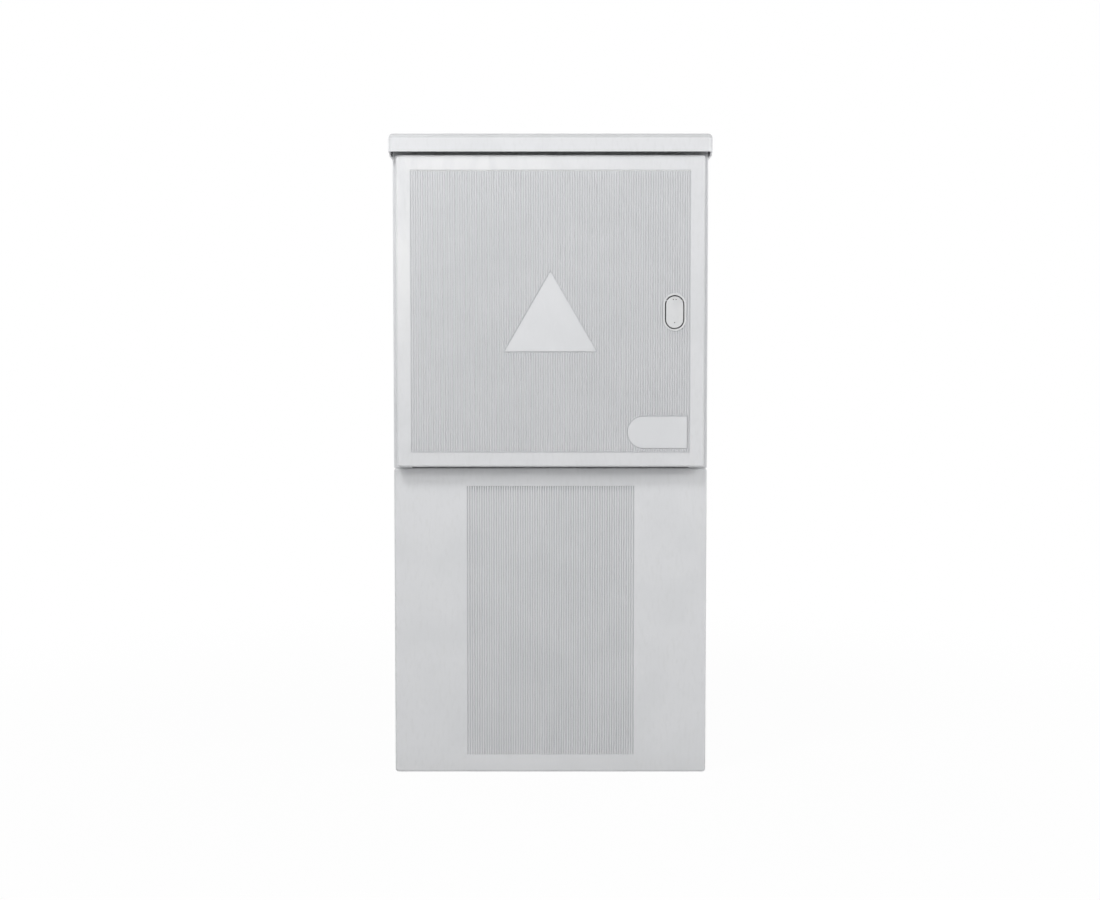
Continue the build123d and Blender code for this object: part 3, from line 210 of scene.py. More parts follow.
class MetalSettings(bpy.types.PropertyGroup):
    """Metal parts inside."""
    zinc: colour("Zinc sheet", "Galvanised sheet", 182, 186, 189)
    zinc_dark: colour("Dark spangle", "Darker crystals of the galvanised sheet", 150, 155, 159)
    zinc_roughness: share("Zinc roughness", "Roughness of the galvanised sheet", 0.36)
    spangle: length("Spangle", "Size of the zinc crystals", 11)
    spangle_share: share("Spangle strength", "Strength of the darker crystals", 0.7)
    spangle_gloss_share: share("Spangle gloss", "How far the crystals change the roughness", 0.14)
    spangle_height: length("Spangle height", "Relief of the zinc crystals", 0.004)
    zinc_grain: length("Zinc grain", "Size of the grain of the sheet", 2)
    zinc_height: length("Zinc grain height", "Relief of the grain of the sheet", 0.006)
    zinc_cloud: length("Zinc clouds", "Size of the dull clouds on the sheet", 60)
    dull_share: share("Dull clouds", "Strength of the dull clouds on the sheet", 0.3)
    dull_gloss_share: share("Dull gloss", "How far the dull clouds change the roughness", 0.1)
    plating: colour("Plating", "Zinc plating of the fasteners and rods", 198, 200, 203)
    plating_tint: colour("Plating tint", "Passivated tint of the plating", 196, 190, 170)
    plating_roughness: share("Plating roughness", "Roughness of the plating", 0.3)
    tint_size: length("Tint size", "Size of the patches of tint on the plating", 12)
    tint_share: share("Tint strength", "Strength of the tint on the plating", 0.6)
    tint_gloss_share: share("Tint gloss", "How far the tint changes the roughness", 0.2)
    plating_grain: length("Plating grain", "Size of the grain of the plating", 0.8)
    plating_height: length("Plating grain height", "Relief of the grain of the plating", 0.004)
    copper: colour("Copper", "Bright copper of the bars", 204, 128, 92)
    tarnish: colour("Tarnish", "Tarnished copper", 142, 84, 60)
    copper_roughness: share("Copper roughness", "Roughness of the bright copper", 0.28)
    stain_size: length("Stain size", "Size of the stains on the copper", 35)
    stain_share: share("Stains", "Strength of the stains on the copper", 0.8)
    stain_gloss_share: share("Stain gloss", "How far the stains make the copper matt", 0.2)
    brush_width: length("Brush width", "Width of the brush marks on the copper", 0.6)
    brush_stretch: multiple("Brush stretch", "Length of the brush marks over their width", 60)
    brush_share: share("Brush marks", "Strength of the brush marks on the copper", 0.25)
    brush_height: length("Brush height", "Relief of the brush marks on the copper", 0.01)


class PlasticSettings(bpy.types.PropertyGroup):
    """Insulating parts inside."""
    resin: colour("Resin", "Moulded resin of the supports and insulators", 128, 48, 38)
    resin_roughness: share("Resin roughness", "Roughness of the resin", 0.38)
    resin_grain: length("Resin grain", "Size of the grain of the resin", 1.2)
    housing: colour("Rail housing", "Moulding of the fuse rails", 58, 61, 66)
    housing_roughness: share("Housing roughness", "Roughness of the fuse rails", 0.46)
    housing_grain: length("Housing grain", "Size of the grain of the fuse rails", 0.9)
    nylon: colour("Nylon", "Rod guides and keeper", 26, 26, 28)
    nylon_roughness: share("Nylon roughness", "Roughness of the nylon", 0.5)
    nylon_grain: length("Nylon grain", "Size of the grain of the nylon", 1)
    rubber: colour("Rubber", "Door seal", 24, 24, 25)
    rubber_roughness: share("Rubber roughness", "Roughness of the rubber", 0.62)
    rubber_grain: length("Rubber grain", "Size of the grain of the rubber", 0.8)
    speck_share: share("Specks", "Strength of the specks in the mouldings", 0.12)
    rubber_speck_share: share("Rubber specks", "Strength of the specks in the rubber", 0.2)
    speck_gain: multiple("Speck gain", "Level of the specks over that of the moulding", 1.5)
    speck_lift: share("Speck lift", "Pale level added to the specks", 0.02)
    cloud_size: length("Cloud size", "Size of the clouds on the mouldings", 50)
    cloud_share: share("Clouds", "Strength of the clouds on the mouldings", 0.25)
    gloss_share: share("Gloss clouds", "How far the clouds change the roughness", 0.14)
    grain_height: length("Grain height", "Height of the grain of the mouldings", 0.03)
    ceramic: colour("Ceramic", "Bodies of the fuse links", 226, 221, 210)
    ceramic_roughness: share("Ceramic roughness", "Roughness of the fuse links", 0.32)
    ceramic_grain: length("Ceramic grain", "Size of the stains on the ceramic", 10)
    ceramic_height: length("Ceramic height", "Relief of the ceramic", 0.02)
    stain_share: share("Ceramic stains", "Strength of the stains on the ceramic", 0.25)
    stain_gloss_share: share("Stain gloss", "How far the stains change the roughness", 0.2)
    link_front: length("Link front", "Depth of the plated front of the fuse links", 4)
    link_half: length("Link half", "Half length of the ceramic between the plated caps", 24)
    link_margin: length("Link margin", "Reach of the plating past the ends of a fuse link", 1)


class SealSettings(bpy.types.PropertyGroup):
    """Rubber seal in the door."""
    width: length("Width", "Width of the foot of the seal", 8)
    lip: length("Lip", "Thickness of the foot of the seal", 1.8)
    neck: length("Neck", "Height of the neck above the foot", 0.6)
    waist: length("Waist", "Inset of the neck", 1.2)
    bulb_share: share("Bulb", "Share of the inset that the bulb takes back", 0.7)
    crown: length("Crown", "Rounding of the bulb", 2.6)


class FastenerSettings(bpy.types.PropertyGroup):
    """Screws and bolts."""
    washer_share: multiple("Washer", "Width of a washer over the width over the flats", 1.22)
    washer: length("Washer thickness", "Thickness of the washers", 1.0)
    washer_edge_share: share("Washer edge", "Rounding of a washer over its thickness", 1 / 3)
    hex_edge_share: share("Hexagon edge", "Rounding of a hexagon over its height", 1 / 5)
    hex_rim_share: share("Hexagon rim", "Rim of a hexagon's top over the width over its flats", 1 / 8)
    hex_sink_share: share("Hexagon sink", "Sink of a hexagon's top over the thickness of the washer", 1 / 4)
    dome_share: share("Dome", "Rounding of a pan head over its height", 1 / 2)
    point_share: share("Point", "Bevel at the end of a shank over its radius", 1 / 3)
    m4_head: length("M4 head", "Head height of the M4 screws", 2.6)
    m4_width: length("M4 width", "Head width of the M4 screws", 7.6)
    m4_shank: length("M4 shank", "Shank width of the M4 screws", 4)
    m6_head: length("M6 head", "Head height of the M6 bolts", 3.5)
    m6_flats: length("M6 flats", "Width over the flats of the M6 bolts", 10)
    m6_shank: length("M6 shank", "Shank width of the M6 bolts", 6)
    m8_head: length("M8 head", "Head height of the M8 bolts", 5.3)
    m8_flats: length("M8 flats", "Width over the flats of the M8 bolts", 13)
    m8_shank: length("M8 shank", "Shank width of the M8 bolts", 8)
    recess: length("Recess", "Depth of the cross recess", 1.3)
    recess_width: length("Recess width", "Width of the arms of the cross recess", 0.9)
    recess_share: share("Recess reach", "Reach of an arm of the cross recess over the head's width", 1 / 4)
    tip_gap: length("Tip gap", "Gap between the bolt and the nut end that face each other", 0.4)
    clamp_reach: length("Clamp reach", "Reach of the clamp bolts behind the face of a busbar", 9)
    head_sides: IntProperty(name="Head sides", description="Sides of the round heads and washers", default=32)
    shank_sides: IntProperty(name="Shank sides", description="Sides of the shanks", default=20)


class FittingSettings(bpy.types.PropertyGroup):
    """Covers over the terminals of the fuse rails."""
    margin: length("Margin", "Rail housing left free round a cover", 4)
    height: length("Height", "Height of a cover", 44)
    thickness: length("Thickness", "Thickness of a cover", 2.4)
    rim: length("Rim", "Raised rim of a cover", 4)
    sink: length("Sink", "Depth of the panel inside the rim", 0.8)
    grip: length("Grip", "Height of the grip ribs", 1.4)
    grip_ribs: IntProperty(name="Grip ribs", description="Number of grip ribs on a cover", min=1, default=4)
    edge: length("Edge", "Rounding of the edges", 0.7)
    long_edge: length("Long edge", "Length past which an edge is rounded", 1)


class StageSettings(bpy.types.PropertyGroup):
    """Floor, light and camera."""
    floor_white: colour("Floor", "Pale floor", 216, 216, 216)
    floor_size: length("Floor size", "Width of the floor", 60_000)
    floor_glow: share("Floor glow", "How far the floor shows as the white of the background", 0.965)
    floor_near: length("Near floor", "Distance at which the floor starts to turn into background", 600)
    floor_far: length("Far floor", "Distance at which the floor is all background", 2200)
    room_light: FloatProperty(name="Room light", description="Level of the even light of the room",
                              min=0, default=0.18)
    aim: place("Aim", "Point that the softboxes face", 0, -0.14, 0.75)
    key_place: place("Key place", "Place of the left softbox", -1.8, -2.3, 2.2)
    key_size: lamp_size("Key size", "Width and height of the left softbox", 1.3, 0.9)
    key_power: power("Key power", "Power of the left softbox", 20)
    side_place: place("Side place", "Place of the right softbox", 2.2, -2.1, 2.2)
    side_size: lamp_size("Side size", "Width and height of the right softbox", 1.2, 0.9)
    side_power: power("Side power", "Power of the right softbox", 33.8)
    high_place: place("High place", "Place of the small high softbox", -1.0, -1.4, 2.75)
    high_size: lamp_size("High size", "Width and height of the small high softbox", 0.8, 0.5)
    high_power: power("High power", "Power of the small high softbox", 31)
    fill_place: place("Fill place", "Place of the front fill", -0.8, -3.9, 1.7)
    fill_size: lamp_size("Fill size", "Width and height of the front fill", 1.8, 1.2)
    fill_power: power("Fill power", "Power of the front fill", 3)
    edge_place: place("Edge place", "Place of the softbox beside the right side", 2.9, -0.9, 1.9)
    edge_size: lamp_size("Edge size", "Width and height of the softbox beside the right side", 0.8, 1.2)
    edge_power: power("Edge power", "Power of the softbox beside the right side", 16)
    back_place: place("Back place", "Place of the right softbox behind, mirrored on the left", 2.6, 2.2, 2.3)
    back_size: lamp_size("Back size", "Width and height of each softbox behind", 1.2, 0.9)
    back_power: power("Back power", "Power of each softbox behind", 34)
    eye: place("Eye", "Place of the camera", -0.0009, -3.23675, 0.7887)
    tilt: FloatProperty(name="Tilt", description="Downward tilt of the camera", subtype="ANGLE",
                        unit="ROTATION", default=radians(3.04))
    lens: optics("Lens", "Focal length of the camera", 53.03)
    sensor: optics("Sensor", "Width of the camera's sensor", 36)


# Shader nodes

class Value:
    """A number that varies over a surface; arithmetic on it adds Math nodes."""

    def __init__(self, finish, socket):
        self.finish = finish
        self.socket = socket

    def maths(self, operation, *terms):
        return self.finish.add("ShaderNodeMath", {"operation": operation}, dict(enumerate(terms)))

    def __add__(self, other):
        return self.maths("ADD", self, other)

    def __sub__(self, other):
        return self.maths("SUBTRACT", self, other)

    def __rsub__(self, other):
        return self.maths("SUBTRACT", other, self)

    def __mul__(self, other):
        return self.maths("MULTIPLY", self, other)

    def __lt__(self, other):
        return self.maths("LESS_THAN", self, other)

    def __gt__(self, other):
        return self.maths("GREATER_THAN", self, other)

    def __abs__(self):
        return self.maths("ABSOLUTE", self)

    def most(self, other):
        return self.maths("MAXIMUM", self, other)

    __radd__ = __add__
    __rmul__ = __mul__


class Nodes:
    """Node tree of a material or the world."""

    def __init__(self, owner):
        owner.use_nodes = True
        self.tree = owner.node_tree
        self.tree.nodes.clear()
        self.place = self.add("ShaderNodeTexCoord", out="Object")

    def add(self, kind, settings=None, sockets=None, out=0):
        """New node with its settings and sockets; gives one of its outputs."""
        node = self.tree.nodes.new(kind)
        for key, value in (settings or {}).items():
            setattr(node, key, value)
        for key, value in (sockets or {}).items():
            if isinstance(value, Value):
                self.tree.links.new(value.socket, node.inputs[key])
            else:
                node.inputs[key].default_value = value
        return Value(self, node.outputs[out]) if node.outputs else None

    def several(self, kind, *outs, **sockets):
        """New node of which more than one output is used."""
        node = self.add(kind, sockets=sockets).socket.node
        return [Value(self, node.outputs[out]) for out in outs]

    def background(self):
        """1 for the rays that show the white background: camera, glossy and transmission rays."""
        seen, mirrored, passed = self.several(
            "ShaderNodeLightPath", "Is Camera Ray", "Is Glossy Ray", "Is Transmission Ray")
        return seen + mirrored + passed

    def axes(self, vector=None):
        """The three parts of a vector, by default of the place on the object."""
        return self.several("ShaderNodeSeparateXYZ", 0, 1, 2, Vector=vector or self.place)

    def noise(self, size, detail=2.0, stretch=(1, 1, 1), distortion=0.0):
        """Noise with features of about that size; stretch lengthens them along the axes."""
        scale = tuple(1 / (size * s) for s in stretch)
        spread = self.add("ShaderNodeMapping", sockets={"Vector": self.place, "Scale": scale})
        return self.add("ShaderNodeTexNoise", sockets={
            "Vector": spread, "Scale": 1.0, "Detail": detail, "Distortion": distortion})

    def cells(self, size):
        """Cells of about that size, with a random level for each."""
        sockets = {"Vector": self.place, "Scale": 1 / size}
        return self.axes(self.add("ShaderNodeTexVoronoi", sockets=sockets, out="Color"))[0]

    def ramp(self, value, low, high):
        """Smooth step from 0 at low to 1 at high."""
        return self.add("ShaderNodeMapRange", {"interpolation_type": "SMOOTHSTEP"},
                        {"Value": value, "From Min": low, "From Max": high})

    def mix(self, factor, first, second):
        """Blend of two colours."""
        sides = {0: factor}
        for key, side in ((6, first), (7, second)):
            sides[key] = side if isinstance(side, Value) else (*side, 1)
        return self.add("ShaderNodeMix", {"data_type": "RGBA"}, sides, out=2)


class Finish(Nodes):
    """Node tree of a new material."""

    def __init__(self, name):
        self.material = bpy.data.materials.new(name)
        super().__init__(self.material)

    def surface(self, base, roughness, height, **others):
        """Shader from its base colour, roughness, relief in metres and other sockets."""
        relief = self.add("ShaderNodeBump", sockets={"Distance": 1.0, "Height": height})
        shader = self.add("ShaderNodeBsdfPrincipled", sockets={
            "Base Color": base, "Roughness": roughness, "Normal": relief, **others})
        self.add("ShaderNodeOutputMaterial", sockets={"Surface": shader})
        return self.material


def dress(material, *nodes):
    """Give a material to CAD nodes."""
    for name in nodes:
        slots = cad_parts[name].data.materials
        slots.clear()
        slots.append(material)


# Modelling

def start(name, primitive, **settings):
    """Add a primitive as a new piece, selected alone."""
    bpy.ops.object.select_all(action="DESELECT")
    primitive(**settings)
    piece = bpy.context.object
    rename(piece, name)
    return piece


def rename(piece, name):
    """Name a piece and its mesh."""
    piece.name = name
    piece.data.name = name


def select(piece):
    """Select one piece alone and make it the active one."""
    bpy.ops.object.select_all(action="DESELECT")
    piece.select_set(True)
    bpy.context.view_layer.objects.active = piece


def copy_of(piece):
    """Copy of a piece, with its own mesh."""
    select(piece)
    bpy.ops.object.duplicate()
    return bpy.context.object


def discard(piece):
    """Delete a piece that was only the model of its copies."""
    select(piece)
    bpy.ops.object.delete()


def settle():
    """Put the place, turn and scale of the selected pieces into their meshes."""
    bpy.ops.object.transform_apply(location=True, rotation=True, scale=True)


def edit(piece):
    """Edit a piece, with nothing selected in it."""
    bpy.context.view_layer.objects.active = piece
    bpy.ops.object.mode_set(mode="EDIT")
    bpy.ops.mesh.select_all(action="DESELECT")


def leave():
    """Leave the edited piece."""
    bpy.ops.object.mode_set(mode="OBJECT")


def pick(piece, mode, test):
    """Select just the vertices, edges or faces of the edited piece that pass a test."""
    bpy.ops.mesh.select_mode(type=mode)
    bpy.ops.mesh.select_all(action="DESELECT")
    mesh = bmesh.from_edit_mesh(piece.data)
    chosen = {"VERT": mesh.verts, "EDGE": mesh.edges, "FACE": mesh.faces}[mode]
    for element in chosen:
        element.select = test(element)
    mesh.select_flush_mode()
    bmesh.update_edit_mesh(piece.data)


def extrude(x, y, z):
    """Extrude what is selected in the edited piece."""
    bpy.ops.mesh.extrude_region_move(TRANSFORM_OT_translate={"value": (x, y, z)})


def finish_piece(piece, material, body, slot, *replaced):
    """Smooth a piece, give it its material and let it ride on a body in place of CAD nodes."""
    select(piece)
    settle()
    bpy.ops.object.shade_smooth_by_angle(angle=SMOOTH_ANGLE)
    piece.data.materials.clear()
    piece.data.materials.append(material)
    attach(piece, body)
    if replaced:
        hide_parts(*replaced)


def islands(node):
    """Points of each separate solid of a CAD node."""
    mesh = bmesh.new()
    mesh.from_mesh(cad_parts[node].data)
    bmesh.ops.remove_doubles(mesh, verts=mesh.verts, dist=MERGE)
    solids = []
    left = set(mesh.verts)
    while left:
        reached = [left.pop()]
        points = []
        while reached:
            vertex = reached.pop()
            points.append(vertex.co.copy())
            for edge in vertex.link_edges:
                other = edge.other_vert(vertex)
                if other in left:
                    left.remove(other)
                    reached.append(other)
        solids.append(points)
    mesh.free()
    return sorted(solids, key=lambda points: tuple(round(v, 4) for v in corners(points)[0]))


def corners(points):
    """Lowest and highest corner of a set of points."""
    return [Vector([end(point[i] for point in points) for i in range(3)]) for end in (min, max)]


# Finishes of the shell

def smooth_plates(settings, low, high, x, z, grown):
    """1 on the smooth triangle and the smooth plate with a round end, grown all round, of a door box."""
    half_angle = radians(30)
    half = settings.triangle_side * cos(half_angle) / 2
    middle = (low.z + high.z) / 2
    triangle = (z > middle - half - grown) * (abs(x) < (middle + half + 2 * grown - z) * tan(half_angle))
    radius = settings.dee_height / 2
    right = high.x - settings.dee_side
    across = x - (right - settings.dee_width + radius)
    up = z - (low.z + settings.dee_low + radius)
    radius += grown
    plate = (across > 0) * (x < right + grown) * (abs(up) < radius)
    round_end = across * across + up * up < radius ** 2
    return triangle.most(plate).most(round_end)


def ribbed(f, settings, face, half, low, high):
    """Masks of a ribbed field: the front of its panel, the field itself, and how deep in a groove."""
    x, y, z = f.axes()
    depth = y - face
    front = depth < settings.front_reach
    inside = (abs(x) < half) * (z > low) * (z < high) * front
    return front, inside, f.ramp(depth, 0.0, settings.groove_depth)


def door_tones(f, settings, base, top, front, inside, deep):
    """Darker tone on the ribs, painted shade in the grooves of the door, painted light on the upper ends of
    its ribs, and pale smears with painted light on its upper left margin.
    """
    low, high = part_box("door_panel")
    x, _, z = f.axes()
    outline = smooth_plates(settings, low, high, x, z, settings.outline) * settings.outline_shade_share
    ribs = (1 - smooth_plates(settings, low, high, x, z, 0.0)) * settings.rib_share
    rib_ends = inside * (z > top - settings.outline)
    # Painted shade in the grooves and in the groove round the plates, deeper with depth; a darker tone on the
    # ribs.
    tone = (deep * (settings.door_groove_shade_share + outline) + (1 - deep) * ribs) * (1 - rib_ends)
    # Painted light along the upper ends of the ribs, offsetting the shade of the step there.
    base = f.mix(rib_ends * settings.rib_end_light_share, base, settings.scuff_and_light_white)
    # Pale smears, with painted light that grows towards the upper left of the margin.
    smear_and_light = f.ramp(f.noise(settings.smear_and_light_size, detail=4, stretch=(1, 1, 3), distortion=0.8), 0.3, 0.6)
    leftward = f.ramp(x, high.x, low.x)
    upward = f.ramp(z, low.z, low.z + (high.z - low.z) * settings.smear_and_light_rise_share)
    margin = front - inside
    base = f.mix(smear_and_light * leftward * upward * margin * settings.smear_and_light_share, base, settings.scuff_and_light_white)
    return f.mix(tone * inside, base, settings.rib_tone_and_groove_shade)


def plinth_tones(f, settings, base, top, front, inside, deep):
    """Painted shade in the grooves of the plinth, deeper towards their upper ends."""
    z = f.axes()[2]
    # Painted shade in the grooves, deeper towards their upper ends.
    ends = f.ramp(z, top - settings.end_reach, top) * settings.groove_end_shade_share
    return f.mix(deep * (settings.plinth_groove_shade_share + ends) * inside, base, settings.rib_tone_and_groove_shade)


def shell(name, settings, field=None, tones=None, foot=False, sky=False):
    """Moulded polyester; field is (face y, half width, lower z, upper z) of its ribs, painted by tones."""
    f = Finish(name)
    cloud = f.noise(settings.cloud_size, detail=3, distortion=0.4)
    veil = f.ramp(f.noise(settings.veil_size, detail=3, stretch=(1, 1, 3)), 0.45, 0.75) * settings.veil_share
    base = f.mix(f.ramp(cloud, 0.38, 0.68) * settings.cloud_share, settings.grey, settings.cloud_grey)
    rough = settings.roughness + (cloud - 0.5) * settings.gloss_share
    if field:
        front, inside, deep = ribbed(f, settings, *field)
        base = f.mix(veil * (1 - inside * (1 - settings.rib_veil_share)), base, settings.veil_grey)
        base = tones(f, settings, base, field[-1], front, inside, deep)
    else:
        base = f.mix(veil, base, settings.veil_grey)
    scuff = f.ramp(f.noise(settings.scuff_size, detail=5, stretch=(1, 1, 2.5), distortion=1.2), 0.66, 0.76)
    base = f.mix(scuff * settings.scuff_share, base, settings.scuff_and_light_white)
    if foot:
        z = f.axes()[2]
        splash = (f.noise(settings.splash_size, detail=5) - 0.5) * settings.splash_reach
        splashed = f.ramp(z + splash, settings.splash_reach, 0.0)
        base = f.mix(splashed * settings.grime_share, base, settings.grime)
    if sky:
        # Upward faces get dust and painted shade.
        up = f.axes(f.add("ShaderNodeNewGeometry", out="Normal"))[2]
        lying = f.ramp(up, 0.03, 0.2) * (settings.dust_and_shade_share + settings.dust_and_shade_cloud_share * cloud)
        base = f.mix(lying, base, settings.roof_dust_and_shade)
        rough = rough + lying * settings.dust_matt_share
    wave = f.noise(settings.wave_size, detail=1) * settings.wave_height
    peel = f.noise(settings.peel_size, detail=2) * settings.peel_height
    return f.surface(base, rough, wave + peel, IOR=PLASTIC_IOR)


def lock_plastic(f, settings, base):
    """Grained plastic with clouds of dirt over a base colour."""
    cloud = f.noise(settings.cloud_size, detail=3)
    grain = f.noise(settings.grain_size, detail=4) * settings.grain_height
    # The dirt clouds take the same colour as the painted shade in the gap.
    base = f.mix(f.ramp(cloud, 0.4, 0.7) * settings.cloud_share, base, settings.shade)
    return f.surface(base, settings.roughness + (cloud - 0.5) * settings.gloss_share, grain, IOR=PLASTIC_IOR)


class CABINET_OT_shell(bpy.types.Operator):
    """Finish the moulded panels, the door and the roof"""
    bl_idname = "cabinet.shell"
    bl_label = "Shell"

    def execute(self, context):
        s = context.scene.cabinet_shell
        plain = shell("shell_polyester", s)
        dress(plain, "left_side_panel", "right_side_panel", "rear_panel", "front_header", "floor_plate")
        low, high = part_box("door_panel")
        field = (low.y, high.x - s.door_side, low.z + s.door_low, high.z - s.door_top)
        dress(shell("door_polyester", s, field, door_tones), "door_panel")
        low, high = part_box("plinth_front_panel")
        field = (low.y, s.plinth_field / 2, low.z, high.z - s.plinth_top)
        dress(shell("plinth_polyester", s, field, plinth_tones, foot=True), "plinth_front_panel")
        dress(shell("base_polyester", s, foot=True),
              "plinth_rear_panel", "plinth_left_side", "plinth_right_side")
        dress(shell("roof_polyester", s, sky=True), "roof_hood")
        return {"FINISHED"}


class CABINET_OT_lock_face(bpy.types.Operator):
    """Finish the lock bezel and its flap"""
    bl_idname = "cabinet.lock_face"
    bl_label = "Lock face"

    def execute(self, context):
        s = context.scene.cabinet_lock
        low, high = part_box("lock_flap")
        face = low.y
        f = Finish("bezel_plastic")
        x, y, _ = f.axes()
        # Painted shade deepening into the gap round the flap, darkest on its left.
        deep = f.ramp(y, face + s.shade_start_depth, face + s.gap_depth)
        base = f.mix(deep * f.ramp(x, high.x, low.x), s.grey, s.shade)
        # Painted light on the right of the gap.
        base = f.mix(deep * f.ramp(x, (low.x + high.x) / 2, high.x), base, s.pale)
        dress(lock_plastic(f, s, base), "lock_bezel")
        f = Finish("flap_plastic")
        y = f.axes()[1]
        # Painted shade in the dimples of the flap.
        deep = f.ramp(y, face + s.shade_start_depth, face + s.dimple_depth)
        base = f.mix(deep * (y < face + s.dimple_end), s.grey, s.dot)
        dress(lock_plastic(f, s, base), "lock_flap")
        return {"FINISHED"}


# Finishes inside

def galvanised(settings):
    """Zinc sheet with its crystals and dull clouds."""
    f = Finish("galvanised_sheet")
    crystal = f.cells(settings.spangle)
    grain = f.noise(settings.zinc_grain, detail=4)
    cloud = f.noise(settings.zinc_cloud, detail=3)
    base = f.mix(f.ramp(crystal, 0.2, 0.8) * settings.spangle_share, settings.zinc, settings.zinc_dark)
    base = f.mix(f.ramp(cloud, 0.5, 0.75) * settings.dull_share, base, settings.zinc_dark)
    rough = settings.zinc_roughness + crystal * settings.spangle_gloss_share
    rough = rough + (cloud - 0.5) * settings.dull_gloss_share
    relief = grain * settings.zinc_height + crystal * settings.spangle_height
    return f.surface(base, rough, relief, Metallic=1.0)


def plated(settings):
    """Zinc plating with patches of a passivated tint."""
    f = Finish("zinc_plating")
    tint = f.noise(settings.tint_size, detail=3)
    grain = f.noise(settings.plating_grain, detail=3)
    base = f.mix(f.ramp(tint, 0.45, 0.7) * settings.tint_share, settings.plating, settings.plating_tint)
    rough = settings.plating_roughness + (tint - 0.5) * settings.tint_gloss_share
    return f.surface(base, rough, grain * settings.plating_height, Metallic=1.0)


def copper(settings):
    """Brushed copper with tarnished stains."""
    f = Finish("copper_bar")
    stain = f.noise(settings.stain_size, detail=5, distortion=0.6)
    brush = f.noise(settings.brush_width, detail=2, stretch=(settings.brush_stretch, 1, 1))
    base = f.mix(f.ramp(stain, 0.42, 0.72) * settings.stain_share, settings.copper, settings.tarnish)
    base = f.mix(brush * settings.brush_share, base, settings.tarnish)
    rough = settings.copper_roughness + f.ramp(stain, 0.4, 0.8) * settings.stain_gloss_share
    return f.surface(base, rough, brush * settings.brush_height, Metallic=1.0)


def moulding(name, settings, tone, roughness, grain_size, speck_share):
    """Plain moulded plastic, resin or rubber with a grain and faint specks."""
    f = Finish(name)
    pale = tuple(min(1.0, level * settings.speck_gain + settings.speck_lift) for level in tone)
    cloud = f.noise(settings.cloud_size, detail=3)
    grain = f.noise(grain_size, detail=3)
    paler = f.ramp(grain, 0.5, 0.8) * speck_share + f.ramp(cloud, 0.4, 0.75) * settings.cloud_share
    rough = roughness + (cloud - 0.5) * settings.gloss_share
    return f.surface(f.mix(paler, tone, pale), rough, grain * settings.grain_height)


def fuse_link(settings, metal, node):
    """Ceramic with a plated front and plated caps, placed by the links of one rail."""
    f = Finish("fuse_link")
    _, y, z = f.axes()
    stain = f.noise(settings.ceramic_grain, detail=4)
    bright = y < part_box(node)[0].y + settings.link_front
    for points in islands(node):
        low, high = corners(points)
        off_middle = abs(z - (low.z + high.z) / 2)
        reach = (high.z - low.z) / 2 + settings.link_margin
        bright = bright + (off_middle > settings.link_half) * (off_middle < reach)
    bright = f.ramp(bright, 0.0, 1.0)
    base = f.mix(f.ramp(stain, 0.4, 0.7) * settings.stain_share, settings.ceramic, metal.plating_tint)
    base = f.mix(bright, base, metal.plating)
    rough = settings.ceramic_roughness + (stain - 0.5) * settings.stain_gloss_share
    return f.surface(base, rough, stain * settings.ceramic_height, Metallic=bright)


def nodes_named(start_of_name):
    """Names of the CAD nodes that start alike, in order."""
    return [name for name in sorted(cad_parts) if name.startswith(start_of_name)]


class CABINET_OT_inner_metal(bpy.types.Operator):
    """Finish the sheet metal, the rods, the pins and the copper bars"""
    bl_idname = "cabinet.inner_metal"
    bl_label = "Inner metal"

    def execute(self, context):
        s = context.scene.cabinet_metal
        dress(galvanised(s), "mounting_plate", "cable_rail", "lock_case", "lock_cover", "plate_standoffs",
              "upper_hinge_bracket", "lower_hinge_bracket")
        dress(plated(s), "upper_hinge_pin", "lower_hinge_pin", "flap_pin", "lock_spindle", "latch_cam",
              "cam_nut", "upper_lock_rod", "lower_lock_rod", "panel_screws", "frame_screws",
              "cable_rail_screws", "floor_bolts", "roof_screws", "door_screws", "lock_cover_screws",
              "plate_screws", "neutral_bolts")
        dress(copper(s), "busbar_top", "busbar_middle", "busbar_bottom", "neutral_bar")
        return {"FINISHED"}


class CABINET_OT_insulation(bpy.types.Operator):
    """Finish the resin supports, the nylon parts and the fuse rails with their links"""
    bl_idname = "cabinet.insulation"
    bl_label = "Insulation"

    def execute(self, context):
        s = context.scene.cabinet_plastic
        resin = moulding("support_resin", s, s.resin, s.resin_roughness, s.resin_grain, s.speck_share)
        dress(resin, "busbar_support_left", "busbar_support_right", "neutral_insulators")
        nylon = moulding("guide_nylon", s, s.nylon, s.nylon_roughness, s.nylon_grain, s.speck_share)
        dress(nylon, "rod_guide_upper", "rod_guide_lower", "centre_keeper")
        housing = moulding("rail_housing", s, s.housing, s.housing_roughness, s.housing_grain, s.speck_share)
        dress(housing, *nodes_named("fuse_rail"))
        links = nodes_named("fuse_links")
        dress(fuse_link(s, context.scene.cabinet_metal, links[0]), *links)
        return {"FINISHED"}


